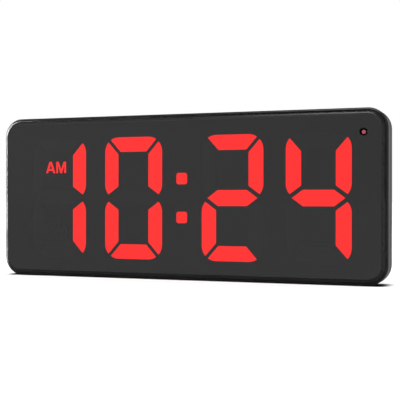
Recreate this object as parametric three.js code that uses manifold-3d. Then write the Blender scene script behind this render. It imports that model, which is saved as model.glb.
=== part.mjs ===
// Digital wall clock: smoked cover, seven-segment display, circuit board and a rear housing
// Millimetres, Z up, X to the right and the face towards -Y; the origin is under the middle of the body.
// A depth is measured from the face of the cover towards the back.

import * as THREE from "three";
import { mergeVertices } from "three/addons/utils/BufferGeometryUtils.js";
import Module from "manifold-3d";

const wasm = await Module();
wasm.setup();

// Fits
const clearance = 0.3;
const runningClearance = 0.4;
const segmentFit = 0.15;
const overshoot = 1;

// Digits and colon
const digitWidth = 50;
const digitHeight = 98;
const barWidth = 12.1;
const middleBarHeight = 12.7;
const digitCornerRadius = 12;
const loopOverlap = 1.2;
const cornerMitreAngle = 48.6;
const cornerMitreGap = 2.4;
const waistMitreAngle = 36.3;
const waistMitreGap = 3;
const waistPointInset = 2;
const digitGap = 17.1;
const colonGap = 33;
const colonDotSize = 9.3;
const colonDotRadius = 2;
const colonDotSpacing = 30.5;
const litTime = ["bc", "abcdef", "abdeg", "bcfg"];

// AM and PM indicators, inside the two loops of the first digit
const indicatorWidth = 20;
const indicatorHeight = 11;
const indicatorRise = 25;
const indicatorPlate = 2;
const maskWall = 0.5;
const letterHeight = 9.7;
const letterWidth = 9;
const letterStroke = 2.1;
const letterFoot = 2.3;
const letterPoint = 1.7;
const letterBarHeight = 1.9;
const letterBarLift = 1.7;
const letterBowlHeight = 5.8;
const letterGap = 1;

// Body around the display
const sideMargin = 26.4;
const topMargin = 17.3;
const bottomMargin = 15.3;
const cornerRadius = 15.2;
const displayWidth = 4 * digitWidth + 2 * digitGap + colonGap;
const bodyWidth = displayWidth + 2 * sideMargin;
const bodyHeight = digitHeight + topMargin + bottomMargin;
const displayHeight = bottomMargin + digitHeight / 2;

// Layers from the face to the back
const coverThickness = 2;
const frameThickness = 6.5;
const boardThickness = 1.6;
const componentSpace = 12;
const backWall = 2.3;
const frameFront = coverThickness + clearance;
const frameBack = frameFront + frameThickness;
const boardFront = frameBack + clearance;
const boardBack = boardFront + boardThickness;
const wallFront = boardBack + componentSpace;
const bodyDepth = wallFront + backWall;

// Housing rim and front cover
const housingWall = 1.4;
const grooveWidth = 0.8;
const rimRound = 1.2;
const backRound = 3;
const coverProud = 3;
const coverRound = 3;
const coverSeatDepth = 3;
const skirtWall = 1.8;
const seatLedgeWidth = 2.1;
const seatLedgeDepth = 1.5;
const coverInset = housingWall + grooveWidth;
const coverInnerRound = Math.max(coverRound - coverThickness, clearance);
const skirtEnd = coverProud + coverSeatDepth;
const seatDepth = skirtEnd + clearance;

// Display module
const frameInset = coverInset + skirtWall + coverInnerRound + clearance;
const segmentThickness = 3.5;
const segmentLedge = 0.8;
const boardInset = housingWall + seatLedgeWidth + clearance;
const chipLength = 3.5;
const chipWidth = 2.8;
const chipHeight = 0.8;
const chipSpread = 9;

// Light sensor in the top right corner
const sensorFromSide = 17.6;
const sensorFromTop = 18.1;
const sensorRadius = 1.6;
const sensorHoleRadius = 2.4;
const sensorRecess = 0.6;
const sleeveWall = 0.8;
const sensorX = bodyWidth / 2 - sensorFromSide;
const sensorZ = bodyHeight - sensorFromTop;
const sleeveRadius = sensorRadius + clearance + sleeveWall;

// Screws through the housing and the board into the frame
const screwFromSide = 10;
const lowerScrewHeight = 24;
const upperScrewFromTop = 38.6;
const screwRadius = 1.4;
const screwHeadRadius = 2.8;
const screwHeadHeight = 2.2;
const screwHeadSink = 3;
const screwGrip = 4.5;
const screwTipRoom = 0.8;
const screwSlotWidth = 0.7;
const screwSlotLength = 3.6;
const screwSlotDepth = 1;
const bossWall = 1.6;

// Wall keyholes
const keyholeFromSide = 65;
const keyholeFromTop = 36.6;
const keyholeEntryRadius = 4.75;
const keyholeSlotWidth = 5;
const keyholeTravel = 9;
const keyholePocketRadius = 6.5;
const keyholePocketDepth = 3.6;
const pocketWall = 1.4;
const keyholeX = bodyWidth / 2 - keyholeFromSide;
const keyholeZ = bodyHeight - keyholeFromTop;

// Fold-out stand
const standWidth = 60;
const standLength = 75;
const standThickness = 3.2;
const standFootHeight = 12;
const standTipRadius = 7;
const standPinRadius = 1.25;
const standKnuckleRadius = 3;
const standPinReach = 3;
const standWall = 1.6;
const notchWidth = 18;
const notchHeight = 7;
const notchDepth = 4.8;
const notchRadius = 3.5;
const standHingeHeight = standFootHeight + standLength;
const standOuterDepth = bodyDepth - runningClearance;
const standInnerDepth = standOuterDepth - standThickness;
const standHingeDepth = standOuterDepth - standKnuckleRadius;
const recessFloor = standInnerDepth - runningClearance;
const knuckleFloor = standHingeDepth - standKnuckleRadius - runningClearance;
const recessHalfWidth = standWidth / 2 + runningClearance;
const recessTop = standHingeHeight + standKnuckleRadius + runningClearance;
const recessBottom = standFootHeight - runningClearance;

// Power socket and the bay for its plug
const plugBayFromSide = 56;
const plugBayWidth = 13;
const plugBayHeight = 30;
const plugBayWall = 1.5;
const jackWidth = 9.4;
const jackHeight = 13.5;
const jackDepth = 11;
const jackAxisHeight = 6.2;
const jackBoreRadius = 3.1;
const jackBoreLength = 9.5;
const jackPinRadius = 1.05;
const jackPinSink = 1;
const plugHoleRadius = 4.2;
const bayFloor = boardBack + clearance + plugBayWall;
const jackBase = plugBayHeight + plugBayWall + clearance;
const jackAxisDepth = boardBack + jackAxisHeight;
const plugBayX = bodyWidth / 2 - plugBayFromSide;

// Coin cell and twist-lock door, midway between the stand and the plug bay
const batteryRise = 3.7;
const cellRadius = 10;
const cellThickness = 3.2;
const cellCapHeight = 0.3;
const cellCapInset = 1.2;
const cellPocketPlay = 0.5;
const cellHeadroom = 0.8;
const springRoom = 1.6;
const cupFloor = 1.4;
const contactThickness = 0.4;
const contactWidth = 4;
const contactLegWidth = 2;
const contactPlay = 0.2;
const leafTail = 7;
const leafBend = 2;
const leafTip = 6;
const doorThickness = 2;
const doorSkirtWall = 1;
const doorSkirtDepth = 2.6;
const doorLugReach = 1.2;
const doorLugHeight = 1.2;
const doorLugAngle = 24;
const doorLugPlay = 3;
const doorTwist = 30;
const coinSlotLength = 15;
const coinSlotWidth = 2.4;
const coinSlotDepth = 1;
const batteryX = (recessHalfWidth + plugBayX - plugBayWidth / 2) / 2;
const batteryZ = displayHeight + batteryRise;
const minusLegX = batteryX - leafTail;
const plusTabX = batteryX + cellRadius + clearance;
const doorFront = bodyDepth - doorThickness;
const cellBack = doorFront - cellHeadroom;
const cellFront = cellBack - cellThickness;
const cupFloorBack = cellFront - springRoom;
const cellPocketRadius = cellRadius + cellPocketPlay;
const skirtInnerRadius = cellRadius + 2 * clearance + contactThickness + contactPlay;
const skirtOuterRadius = skirtInnerRadius + doorSkirtWall;
const lugRadius = skirtOuterRadius + doorLugReach;
const lugFront = doorFront - doorSkirtDepth;
const lugBack = lugFront + doorLugHeight;
const doorRadius = lugRadius + 2 * clearance;
const cupRadius = lugRadius + clearance + pocketWall;
const doorLugMiddles = [90, 270];

// Buttons and their switches, in a row below the left keyhole
const buttonNames = ["set", "alarm", "up", "down"];
const buttonPitch = 15;
const buttonRowDrop = 6.3;
const buttonRadius = 4.4;
const buttonStand = 0.8;
const buttonFlangeReach = 1.2;
const buttonFlangeHeight = 1.2;
const buttonStemRadius = 1.5;
const buttonTravel = 0.6;
const panelSink = 1;
const panelMargin = 3;
const switchSize = 6;
const switchHeight = 3.5;
const switchWellDepth = 1.2;
const buttonRowX = -keyholeX;
const buttonRowZ = displayHeight - buttonRowDrop;

// Vents, sound holes and the blank label recess
const ventCount = 15;
const ventPitch = 7;
const ventWidth = 2.2;
const ventLength = 12;
const ventFromTop = 24.6;
const soundHoleCount = 6;
const soundHoleRadius = 1;
const soundHoleRing = 4;
const labelWidth = 50;
const labelHeight = 24;
const labelSink = 0.4;
const labelFromBase = 16;
const labelX = buttonRowX;
const labelZ = labelFromBase + labelHeight / 2;

// Parts on the board
const buzzerRadius = 6;
const buzzerHeight = 7.5;
const buzzerHoleDepth = 2;
const controllerOffset = 8;
const controllerDrop = 14.5;
const controllerSize = 12;
const controllerThickness = 1.6;
const controllerLeads = 8;
const leadPitch = 1.2;
const leadWidth = 0.5;
const leadReach = 1.2;
const leadHeight = 0.5;
const crystalGap = 4;
const crystalLength = 11;
const crystalWidth = 4.6;
const crystalHeight = 3.6;
const buzzerX = batteryX;
const buzzerZ = labelZ;
const controllerX = -controllerOffset;
const controllerZ = displayHeight - controllerDrop;
const crystalX = controllerX + controllerSize / 2 + leadReach + crystalGap + crystalLength / 2;

// Facets on round shapes
const cornerSteps = 8;
const roundSteps = 3;
const arcSteps = 4;
const holeSides = 16;
const smallHoleSides = 8;
const cupSides = 32;
const capsuleSteps = 6;

const radians = THREE.MathUtils.degToRad;
const yAt = (depth) => depth - bodyDepth / 2;

// Materials
function plastic(color, roughness) {
  return new THREE.MeshStandardMaterial({ color, roughness, metalness: 0 });
}

function metal(color, roughness) {
  return new THREE.MeshStandardMaterial({ color, roughness, metalness: 1 });
}

function smokedAcrylic() {
  const look = plastic(0x101012, 0.06);
  look.transparent = true;
  look.opacity = 0.45;
  return look;
}

function litDiffuser() {
  const look = plastic(0xff2a24, 0.4);
  look.emissive = new THREE.Color(0xff1a14);
  return look;
}

const unlitDiffuser = () => plastic(0x1b1414, 0.5);
const housingPlastic = () => plastic(0x151516, 0.35);
const mattePlastic = () => plastic(0x0c0c0d, 0.8);
const rubber = () => plastic(0x0a0a0a, 0.9);
const boardLaminate = () => plastic(0x12402a, 0.5);
const sensorResin = () => plastic(0xb04058, 0.15);
const packagePlastic = () => plastic(0x1a1a1c, 0.6);
const steel = () => metal(0xb8babd, 0.35);
const springBrass = () => metal(0xc9b06a, 0.3);
const blackScrewSteel = () => metal(0x2a2a2c, 0.4);

// From a closed geometry to a solid and back
function toSolid(geometry) {
  const bare = geometry.clone();
  bare.deleteAttribute("normal");
  bare.deleteAttribute("uv");
  const merged = mergeVertices(bare, 1e-4);
  return new wasm.Manifold(new wasm.Mesh({
    numProp: 3,
    vertProperties: new Float32Array(merged.attributes.position.array),
    triVerts: new Uint32Array(merged.index.array),
  }));
}

function toGeometry(solid) {
  const mesh = solid.getMesh();
  const geometry = new THREE.BufferGeometry();
  geometry.setAttribute("position", new THREE.BufferAttribute(mesh.vertProperties, 3));
  geometry.setIndex(new THREE.BufferAttribute(mesh.triVerts, 1));
  geometry.computeVertexNormals();
  return geometry;
}

function join(...solids) {
  return solids.reduce((whole, next) => whole.add(next));
}

function cut(whole, ...tools) {
  return tools.reduce((rest, tool) => rest.subtract(tool), whole);
}

// Basic solids, each given by its ranges
function block([x0, x1], [depth0, depth1], [z0, z1]) {
  const geometry = new THREE.BoxGeometry(x1 - x0, depth1 - depth0, z1 - z0);
  geometry.translate((x0 + x1) / 2, yAt((depth0 + depth1) / 2), (z0 + z1) / 2);
  return toSolid(geometry);
}

function around(centre, half) {
  return [centre - half, centre + half];
}

// A flat outline in X and Z carried through a range of depth
function prism(points, [depth0, depth1]) {
  const geometry = new THREE.ExtrudeGeometry(new THREE.Shape(points), {
    depth: depth1 - depth0,
    bevelEnabled: false,
    curveSegments: arcSteps,
  });
  geometry.rotateX(Math.PI / 2);
  geometry.translate(0, yAt(depth1), 0);
  return toSolid(geometry);
}

function disc(x, z, radius, depths, sides = holeSides) {
  return prism(arc(x, z, radius, 0, 360, sides).slice(0, -1), depths);
}

// A round bar along X
function crossBar(depth, z, radius, [x0, x1], sides = holeSides) {
  const geometry = new THREE.CylinderGeometry(radius, radius, x1 - x0, sides);
  geometry.rotateZ(Math.PI / 2);
  geometry.translate((x0 + x1) / 2, yAt(depth), z);
  return toSolid(geometry);
}

// A round bar along Z
function upright(x, depth, radius, [z0, z1], sides = holeSides) {
  const geometry = new THREE.CylinderGeometry(radius, radius, z1 - z0, sides);
  geometry.rotateX(Math.PI / 2);
  geometry.translate(x, yAt(depth), (z0 + z1) / 2);
  return toSolid(geometry);
}

function arc(x, z, radius, fromDegrees, toDegrees, steps) {
  return Array.from({ length: steps + 1 }, (_, step) => {
    const angle = radians(fromDegrees + ((toDegrees - fromDegrees) * step) / steps);
    return new THREE.Vector2(x + radius * Math.cos(angle), z + radius * Math.sin(angle));
  });
}

function roundedRectangle(centreX, centreZ, width, height, radius, steps) {
  const right = centreX + width / 2 - radius;
  const left = centreX - width / 2 + radius;
  const top = centreZ + height / 2 - radius;
  const bottom = centreZ - height / 2 + radius;
  return [
    ...arc(right, top, radius, 0, 90, steps),
    ...arc(left, top, radius, 90, 180, steps),
    ...arc(left, bottom, radius, 180, 270, steps),
    ...arc(right, bottom, radius, 270, 360, steps),
  ];
}

function capsule(x, z0, z1, radius, steps) {
  return [...arc(x, z1, radius, 0, 180, steps), ...arc(x, z0, radius, 180, 360, steps)];
}

// A stretch of a ring around the battery's axis
function lugSector(radius0, radius1, middle, half) {
  return [
    ...arc(batteryX, batteryZ, radius1, middle - half, middle + half, arcSteps),
    ...arc(batteryX, batteryZ, radius0, middle + half, middle - half, arcSteps),
  ];
}

// The body's outline at one inset and depth
function bodyRing(inset, depth) {
  const radius = cornerRadius - inset;
  const width = bodyWidth - 2 * inset;
  const height = bodyHeight - 2 * inset;
  return roundedRectangle(0, bodyHeight / 2, width, height, radius, cornerSteps)
    .map((point) => [point.x, yAt(depth), point.y]);
}

// A closed solid skinned over body rings, capped at the first and the last
function ringSolid(rows) {
  const rings = rows.map(([inset, depth]) => bodyRing(inset, depth));
  const size = rings[0].length;
  const triangles = [];
  for (let side = 1; side < size - 1; side += 1) {
    const last = (rings.length - 1) * size;
    triangles.push(0, side, side + 1);
    triangles.push(last, last + side + 1, last + side);
  }
  for (let ring = 0; ring < rings.length - 1; ring += 1) {
    for (let side = 0; side < size; side += 1) {
      const near = ring * size + side;
      const nearNext = ring * size + ((side + 1) % size);
      triangles.push(near, near + size, nearNext);
      triangles.push(nearNext, near + size, nearNext + size);
    }
  }
  const geometry = new THREE.BufferGeometry();
  geometry.setAttribute("position", new THREE.Float32BufferAttribute(rings.flat(2), 3));
  geometry.setIndex(triangles);
  return toSolid(geometry);
}

// Rows of a quarter round between a flat end and a side wall, growing outwards from the end
function quarterRound(sideInset, endDepth, radius, direction) {
  return Array.from({ length: roundSteps + 1 }, (_, step) => {
    const angle = ((Math.PI / 2) * step) / roundSteps;
    return [
      sideInset + radius * (1 - Math.sin(angle)),
      endDepth + direction * radius * (1 - Math.cos(angle)),
    ];
  });
}

// Keep the part of a convex outline on the side of a line that its normal points away from
function trim(points, line) {
  const kept = [];
  points.forEach((point, index) => {
    const next = points[(index + 1) % points.length];
    const here = line.normal.dot(point) - line.offset;
    const there = line.normal.dot(next) - line.offset;
    if (here <= 0) {
      kept.push(point);
    }
    if (here * there < 0) {
      kept.push(point.clone().lerp(next, here / (here - there)));
    }
  });
  return kept;
}

function lineThrough(x, z, normalX, normalZ, shift) {
  const normal = new THREE.Vector2(normalX, normalZ).normalize();
  return { normal, offset: normal.x * x + normal.y * z + shift };
}

// Seven-segment digit, drawn about its own middle
const halfDigit = digitWidth / 2;
const halfHeight = digitHeight / 2;

// The upper loop's outline, rounded at the digit's top and at its waist
function loopOutline(grow) {
  const height = halfHeight + loopOverlap;
  const centre = (halfHeight - loopOverlap) / 2;
  const radius = digitCornerRadius + grow;
  return roundedRectangle(0, centre, digitWidth + 2 * grow, height + 2 * grow, radius, arcSteps);
}

// The mitre between the top bar and a side bar; facing 1 keeps the side bar, -1 the top bar
function cornerMitre(side, facing, grow) {
  const angle = radians(cornerMitreAngle);
  const normalX = -side * Math.sin(angle) * facing;
  const normalZ = Math.cos(angle) * facing;
  const shift = grow - cornerMitreGap / 2;
  return lineThrough(side * (halfDigit - barWidth), halfHeight - barWidth, normalX, normalZ, shift);
}

// The mitre between a side bar and the middle bar; facing 1 keeps the side bar, -1 the middle bar
function waistMitre(side, level, facing, grow) {
  const angle = radians(waistMitreAngle);
  const normalX = -side * Math.sin(angle) * facing;
  const normalZ = -level * Math.cos(angle) * facing;
  const shift = grow - waistMitreGap / 2;
  return lineThrough(side * (halfDigit - waistPointInset), 0, normalX, normalZ, shift);
}

function topBar(grow) {
  const lower = lineThrough(0, halfHeight - barWidth, 0, -1, grow);
  return [lower, cornerMitre(1, -1, grow), cornerMitre(-1, -1, grow)]
    .reduce(trim, loopOutline(grow));
}

function sideBar(grow) {
  const inner = lineThrough(halfDigit - barWidth, 0, -1, 0, grow);
  return [inner, cornerMitre(1, 1, grow), waistMitre(1, 1, 1, grow)]
    .reduce(trim, loopOutline(grow));
}

function middleBar(grow) {
  const half = middleBarHeight / 2 + grow;
  const corners = [[1, -1], [1, 1], [-1, 1], [-1, -1]];
  const whole = corners.map(([x, z]) => new THREE.Vector2(x * halfDigit, z * half));
  return corners.map(([side, level]) => waistMitre(side, level, -1, grow)).reduce(trim, whole);
}

function mirrored(points, signX, signZ) {
  const moved = points.map((point) => new THREE.Vector2(point.x * signX, point.y * signZ));
  return signX * signZ < 0 ? moved.reverse() : moved;
}

function shifted(points, x, z) {
  return points.map((point) => new THREE.Vector2(point.x + x, point.y + z));
}

// Each bar's outline with its middle, the direction it runs in and how it is mirrored
const topPlan = { outline: topBar, x: 0, z: halfHeight - barWidth / 2, runsAcross: true };
const sidePlan = { outline: sideBar, x: halfDigit - barWidth / 2, z: halfHeight / 2, runsAcross: false };
const middlePlan = { outline: middleBar, x: 0, z: 0, runsAcross: true };
const segmentPlans = {
  a: { ...topPlan, signX: 1, signZ: 1 },
  b: { ...sidePlan, signX: 1, signZ: 1 },
  c: { ...sidePlan, signX: 1, signZ: -1 },
  d: { ...topPlan, signX: 1, signZ: -1 },
  e: { ...sidePlan, signX: -1, signZ: -1 },
  f: { ...sidePlan, signX: -1, signZ: 1 },
  g: { ...middlePlan, signX: 1, signZ: 1 },
};

function segmentOutline(plan, grow) {
  return mirrored(plan.outline(grow), plan.signX, plan.signZ);
}

const innerDigitX = colonGap / 2 + halfDigit;
const outerDigitX = innerDigitX + digitGap + digitWidth;
const digitPlaces = [-outerDigitX, -innerDigitX, innerDigitX, outerDigitX];
const segmentBack = frameFront + segmentThickness;
const indicatorLeft = -outerDigitX - halfDigit + barWidth + 2 * segmentFit + maskWall;
const indicatorX = indicatorLeft + indicatorWidth / 2;

function dotOutline(level, grow) {
  const size = colonDotSize + 2 * grow;
  const z = (level * colonDotSpacing) / 2;
  return roundedRectangle(0, z, size, size, colonDotRadius + grow, roundSteps);
}

function indicatorOutline(level, grow) {
  return [[1, -1], [1, 1], [-1, 1], [-1, -1]].map(([x, z]) => new THREE.Vector2(
    indicatorX + x * (indicatorWidth / 2 + grow),
    level * indicatorRise + z * (indicatorHeight / 2 + grow),
  ));
}

// Every lit place of the display at one growth, about the display's middle
function displayOutlines(grow) {
  const plans = Object.values(segmentPlans);
  return [
    ...digitPlaces.flatMap((x) => plans.map((plan) => shifted(segmentOutline(plan, grow), x, 0))),
    ...[1, -1].map((level) => dotOutline(level, grow)),
    ...[1, -1].map((level) => indicatorOutline(level, grow)),
  ];
}

const screwPlaces = [-1, 1].flatMap((side) => {
  const x = side * (bodyWidth / 2 - screwFromSide);
  return [[x, lowerScrewHeight], [x, bodyHeight - upperScrewFromTop]];
});

// Black reflector plate with a stepped window behind every lit place
function displayFrame() {
  const plate = ringSolid([[frameInset, frameFront], [frameInset, frameBack]]);
  const lift = (points) => shifted(points, 0, displayHeight);
  const opened = (grow, depths) => displayOutlines(grow).map((points) => prism(lift(points), depths));
  const windows = opened(segmentFit, [frameFront - overshoot, segmentBack]);
  const cavities = opened(-segmentLedge, [frameFront, frameBack + overshoot]);
  const pilotDepths = [frameBack - screwGrip - screwTipRoom, frameBack + overshoot];
  const pilots = screwPlaces.map(([x, z]) => disc(x, z, screwRadius + clearance, pilotDepths));
  const sensorDepths = [frameFront - overshoot, frameBack + overshoot];
  const sensorHole = disc(sensorX, sensorZ, sleeveRadius + clearance, sensorDepths);
  return cut(plate, ...windows, ...cavities, ...pilots, sensorHole);
}

function diffuser(points) {
  return prism(points, [frameFront, segmentBack]);
}

// Letters in strokes, from their lower left corner
const letterDepths = [frameFront, segmentBack - indicatorPlate + clearance];

function strokes(x, z, shapes) {
  const place = ([u, v]) => new THREE.Vector2(x + u, z + v);
  return join(...shapes.map((points) => prism(points.map(place), letterDepths)));
}

function slantedStroke(lowLeft, lowRight, highRight, highLeft) {
  return [[lowLeft, 0], [lowRight, 0], [highRight, letterHeight], [highLeft, letterHeight]];
}

function letterA(x, z) {
  const left = (letterWidth - letterFoot) / 2;
  const right = (letterWidth + letterFoot) / 2;
  const barTop = letterBarLift + letterBarHeight;
  return strokes(x, z, [
    slantedStroke(0, letterFoot, right, left),
    slantedStroke(letterWidth - letterFoot, letterWidth, right, left),
    [[letterFoot, letterBarLift], [letterWidth - letterFoot, letterBarLift],
      [letterWidth - letterFoot, barTop], [letterFoot, barTop]],
  ]);
}

function letterM(x, z) {
  const left = (letterWidth - letterPoint) / 2;
  const right = (letterWidth + letterPoint) / 2;
  const inner = letterWidth - letterStroke;
  return strokes(x, z, [
    slantedStroke(0, letterStroke, letterStroke, 0),
    slantedStroke(inner, letterWidth, letterWidth, inner),
    slantedStroke(left, right, letterFoot, 0),
    slantedStroke(left, right, letterWidth, letterWidth - letterFoot),
  ]);
}

function letterP(x, z) {
  const bowl = (shrink) => roundedRectangle(
    x + letterWidth / 2,
    z + letterHeight - letterBowlHeight / 2,
    letterWidth - 2 * shrink,
    letterBowlHeight - 2 * shrink,
    letterBowlHeight / 2 - shrink,
    arcSteps,
  );
  const loop = cut(prism(bowl(0), letterDepths), prism(bowl(letterStroke), [0, boardFront]));
  return join(loop, strokes(x, z, [slantedStroke(0, letterStroke, letterStroke, 0)]));
}

// A plate with raised letters, in its window of the frame
function indicator(level, firstLetter) {
  const plateFront = segmentBack - indicatorPlate;
  const textWidth = 2 * letterWidth + letterGap;
  const left = indicatorX - textWidth / 2;
  const low = level * indicatorRise - letterHeight / 2;
  return join(
    prism(indicatorOutline(level, 0), [plateFront, segmentBack]),
    firstLetter(left, low),
    letterM(left + letterWidth + letterGap, low),
  );
}

// Circuit board with two light chips behind each bar and one behind each dot
function mainBoard() {
  const plate = ringSolid([[boardInset, boardFront], [boardInset, boardBack]]);
  const depths = [boardFront - chipHeight, boardFront + chipHeight];
  const chip = (x, z, across) => block(
    around(x, (across ? chipLength : chipWidth) / 2),
    depths,
    around(displayHeight + z, (across ? chipWidth : chipLength) / 2),
  );
  const barChips = digitPlaces.flatMap((digitX) => Object.values(segmentPlans).flatMap((plan) => {
    const x = digitX + plan.signX * plan.x;
    const z = plan.signZ * plan.z;
    const along = plan.runsAcross ? [chipSpread, 0] : [0, chipSpread];
    return [-1, 1].map((end) => chip(x + end * along[0], z + end * along[1], plan.runsAcross));
  }));
  const dotChips = [1, -1].map((level) => chip(0, (level * colonDotSpacing) / 2, true));
  const textChips = [1, -1].map((level) => chip(indicatorX, level * indicatorRise, true));
  const holeDepths = [boardFront - overshoot, boardBack + overshoot];
  const holes = screwPlaces.map(([x, z]) => disc(x, z, screwRadius + clearance, holeDepths));
  return cut(join(plate, ...barChips, ...dotChips, ...textChips), ...holes);
}

// Smoked cover: a flat face with a rounded edge and a skirt that seats on the housing's ledge
function frontCover() {
  const inner = coverInset + skirtWall;
  const shell = ringSolid([
    ...quarterRound(coverInset, 0, coverRound, 1),
    [coverInset, skirtEnd],
    [inner, skirtEnd],
    ...quarterRound(inner, coverThickness, coverInnerRound, 1).reverse(),
  ]);
  return cut(shell, disc(sensorX, sensorZ, sensorHoleRadius, [-overshoot, skirtEnd]));
}

function lightSensor() {
  const domeDepth = sensorRecess + sensorRadius;
  const dome = new THREE.SphereGeometry(sensorRadius, holeSides, holeSides / 2);
  dome.rotateX(Math.PI / 2);
  dome.translate(sensorX, yAt(domeDepth), sensorZ);
  return join(toSolid(dome), disc(sensorX, sensorZ, sensorRadius, [domeDepth, boardFront]));
}

function sensorSleeve() {
  const outer = disc(sensorX, sensorZ, sleeveRadius, [frameFront + clearance, boardFront]);
  return cut(outer, disc(sensorX, sensorZ, sensorRadius + clearance, [0, boardBack]));
}

// Rear housing: a tray with a rounded rim and a ledge that the cover seats on
function housingShell() {
  const ledgeInset = housingWall + seatLedgeWidth;
  const ledgeBack = seatDepth + seatLedgeDepth;
  const outer = ringSolid([
    ...quarterRound(0, coverProud, rimRound, 1),
    ...quarterRound(0, bodyDepth, backRound, -1).reverse(),
  ]);
  const hollow = ringSolid([
    [housingWall, coverProud - overshoot],
    [housingWall, seatDepth],
    [ledgeInset, seatDepth],
    [ledgeInset, ledgeBack],
    [housingWall, ledgeBack],
    [housingWall, wallFront],
  ]);
  return cut(outer, hollow);
}

// Each feature of the housing is what it adds inside the shell and what it then takes away
const intoWall = wallFront + backWall / 2;
const beyondBack = bodyDepth + overshoot;

function screwBoss([x, z]) {
  const headHole = screwHeadRadius + clearance;
  return {
    add: [disc(x, z, headHole + bossWall, [boardBack + clearance, intoWall])],
    take: [
      disc(x, z, screwRadius + clearance, [boardBack, bodyDepth]),
      disc(x, z, headHole, [bodyDepth - screwHeadSink, beyondBack]),
    ],
  };
}

function keyhole(side) {
  const x = side * keyholeX;
  const top = keyholeZ + keyholeTravel;
  const floor = wallFront - keyholePocketDepth;
  const outline = (radius) => capsule(x, keyholeZ, top, radius, capsuleSteps);
  return {
    add: [prism(outline(keyholePocketRadius + pocketWall), [floor - pocketWall, intoWall])],
    take: [
      prism(outline(keyholePocketRadius), [floor, wallFront]),
      prism(outline(keyholeSlotWidth / 2), [floor + clearance, beyondBack]),
      disc(x, keyholeZ, keyholeEntryRadius, [floor + clearance, beyondBack]),
    ],
  };
}

function standRecess() {
  const half = recessHalfWidth;
  const boreRadius = standPinRadius + clearance;
  const boreEnd = half + standPinReach;
  const knuckleLow = standHingeHeight - standKnuckleRadius - runningClearance;
  const recess = (grow, back) => block(
    around(0, half + grow),
    [recessFloor - grow, back],
    [recessBottom - grow, recessTop + grow],
  );
  const knucklePocket = (grow, back) => block(
    around(0, half + grow),
    [knuckleFloor - grow, back],
    [knuckleLow - grow, recessTop + grow],
  );
  const notch = (grow, back) => prism(
    roundedRectangle(
      0,
      recessBottom,
      notchWidth + 2 * grow,
      2 * (notchHeight + grow),
      notchRadius + grow,
      roundSteps,
    ),
    [bodyDepth - notchDepth - grow, back],
  );
  const bore = (radius, reach) => crossBar(standHingeDepth, standHingeHeight, radius, around(0, reach));
  return {
    add: [
      recess(standWall, intoWall),
      knucklePocket(standWall, intoWall),
      notch(standWall, intoWall),
      bore(boreRadius + bossWall, boreEnd + standWall),
    ],
    take: [
      recess(0, beyondBack),
      knucklePocket(0, beyondBack),
      notch(0, beyondBack),
      bore(boreRadius, boreEnd),
    ],
  };
}

function batteryCup() {
  const cupFront = cupFloorBack - cupFloor;
  const lugHalf = doorLugAngle / 2 + doorLugPlay;
  const round = (radius, depths) => disc(batteryX, batteryZ, radius, depths, cupSides);
  const entries = doorLugMiddles.map((middle) => prism(
    lugSector(cellRadius, lugRadius + clearance, middle - doorTwist, lugHalf),
    [lugFront, bodyDepth],
  ));
  const legSlot = (x, depths, width) => block(
    [x - clearance, x + contactThickness + clearance],
    depths,
    around(batteryZ, width / 2 + clearance),
  );
  return {
    add: [round(cupRadius, [cupFront, intoWall])],
    take: [
      round(doorRadius + clearance, [doorFront - clearance, beyondBack]),
      round(skirtOuterRadius + clearance, [lugFront, bodyDepth]),
      round(lugRadius + clearance, [lugFront - clearance, lugBack + clearance]),
      round(cellPocketRadius, [cupFloorBack, bodyDepth]),
      ...entries,
      legSlot(plusTabX, [cupFloorBack, lugBack], contactWidth),
      legSlot(plusTabX, [cupFront - overshoot, lugBack], contactLegWidth),
      legSlot(minusLegX, [cupFront - overshoot, lugBack], contactLegWidth),
    ],
  };
}

function plugBay() {
  const half = plugBayWidth / 2;
  const ceiling = [plugBayHeight - overshoot, plugBayHeight + plugBayWall + overshoot];
  return {
    add: [
      block(
        around(plugBayX, half + plugBayWall),
        [bayFloor - plugBayWall, intoWall],
        [housingWall / 2, plugBayHeight + plugBayWall],
      ),
    ],
    take: [
      block(around(plugBayX, half), [bayFloor, beyondBack], [-overshoot, plugBayHeight]),
      upright(plugBayX, jackAxisDepth, plugHoleRadius, ceiling),
    ],
  };
}

const buttonPlaces = buttonNames.map((_, index) => {
  const fromMiddle = index - (buttonNames.length - 1) / 2;
  return buttonRowX + fromMiddle * buttonPitch;
});

function buttonPanel() {
  const height = 2 * (buttonRadius + panelMargin);
  const width = (buttonNames.length - 1) * buttonPitch + height;
  const panel = roundedRectangle(buttonRowX, buttonRowZ, width, height, buttonRadius, roundSteps);
  const through = [wallFront - overshoot, beyondBack];
  return {
    add: [],
    take: [
      prism(panel, [bodyDepth - panelSink, beyondBack]),
      ...buttonPlaces.map((x) => disc(x, buttonRowZ, buttonRadius + clearance, through)),
    ],
  };
}

function ventsAndLabel() {
  const through = [wallFront - overshoot, beyondBack];
  const ventLow = bodyHeight - ventFromTop;
  const vents = Array.from({ length: ventCount }, (_, index) => {
    const x = (index - (ventCount - 1) / 2) * ventPitch;
    return block(around(x, ventWidth / 2), through, [ventLow, ventLow + ventLength]);
  });
  const soundHoles = arc(buzzerX, buzzerZ, soundHoleRing, 0, 360, soundHoleCount).slice(1)
    .map((place) => disc(place.x, place.y, soundHoleRadius, through, smallHoleSides));
  const label = block(
    around(labelX, labelWidth / 2),
    [bodyDepth - labelSink, beyondBack],
    around(labelZ, labelHeight / 2),
  );
  return { add: [], take: [...vents, ...soundHoles, label] };
}

function rearCover() {
  const features = [
    ...screwPlaces.map(screwBoss),
    keyhole(-1),
    keyhole(1),
    standRecess(),
    batteryCup(),
    plugBay(),
    buttonPanel(),
    ventsAndLabel(),
  ];
  const whole = join(housingShell(), ...features.flatMap((feature) => feature.add));
  return cut(whole, ...features.flatMap((feature) => feature.take));
}

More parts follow.
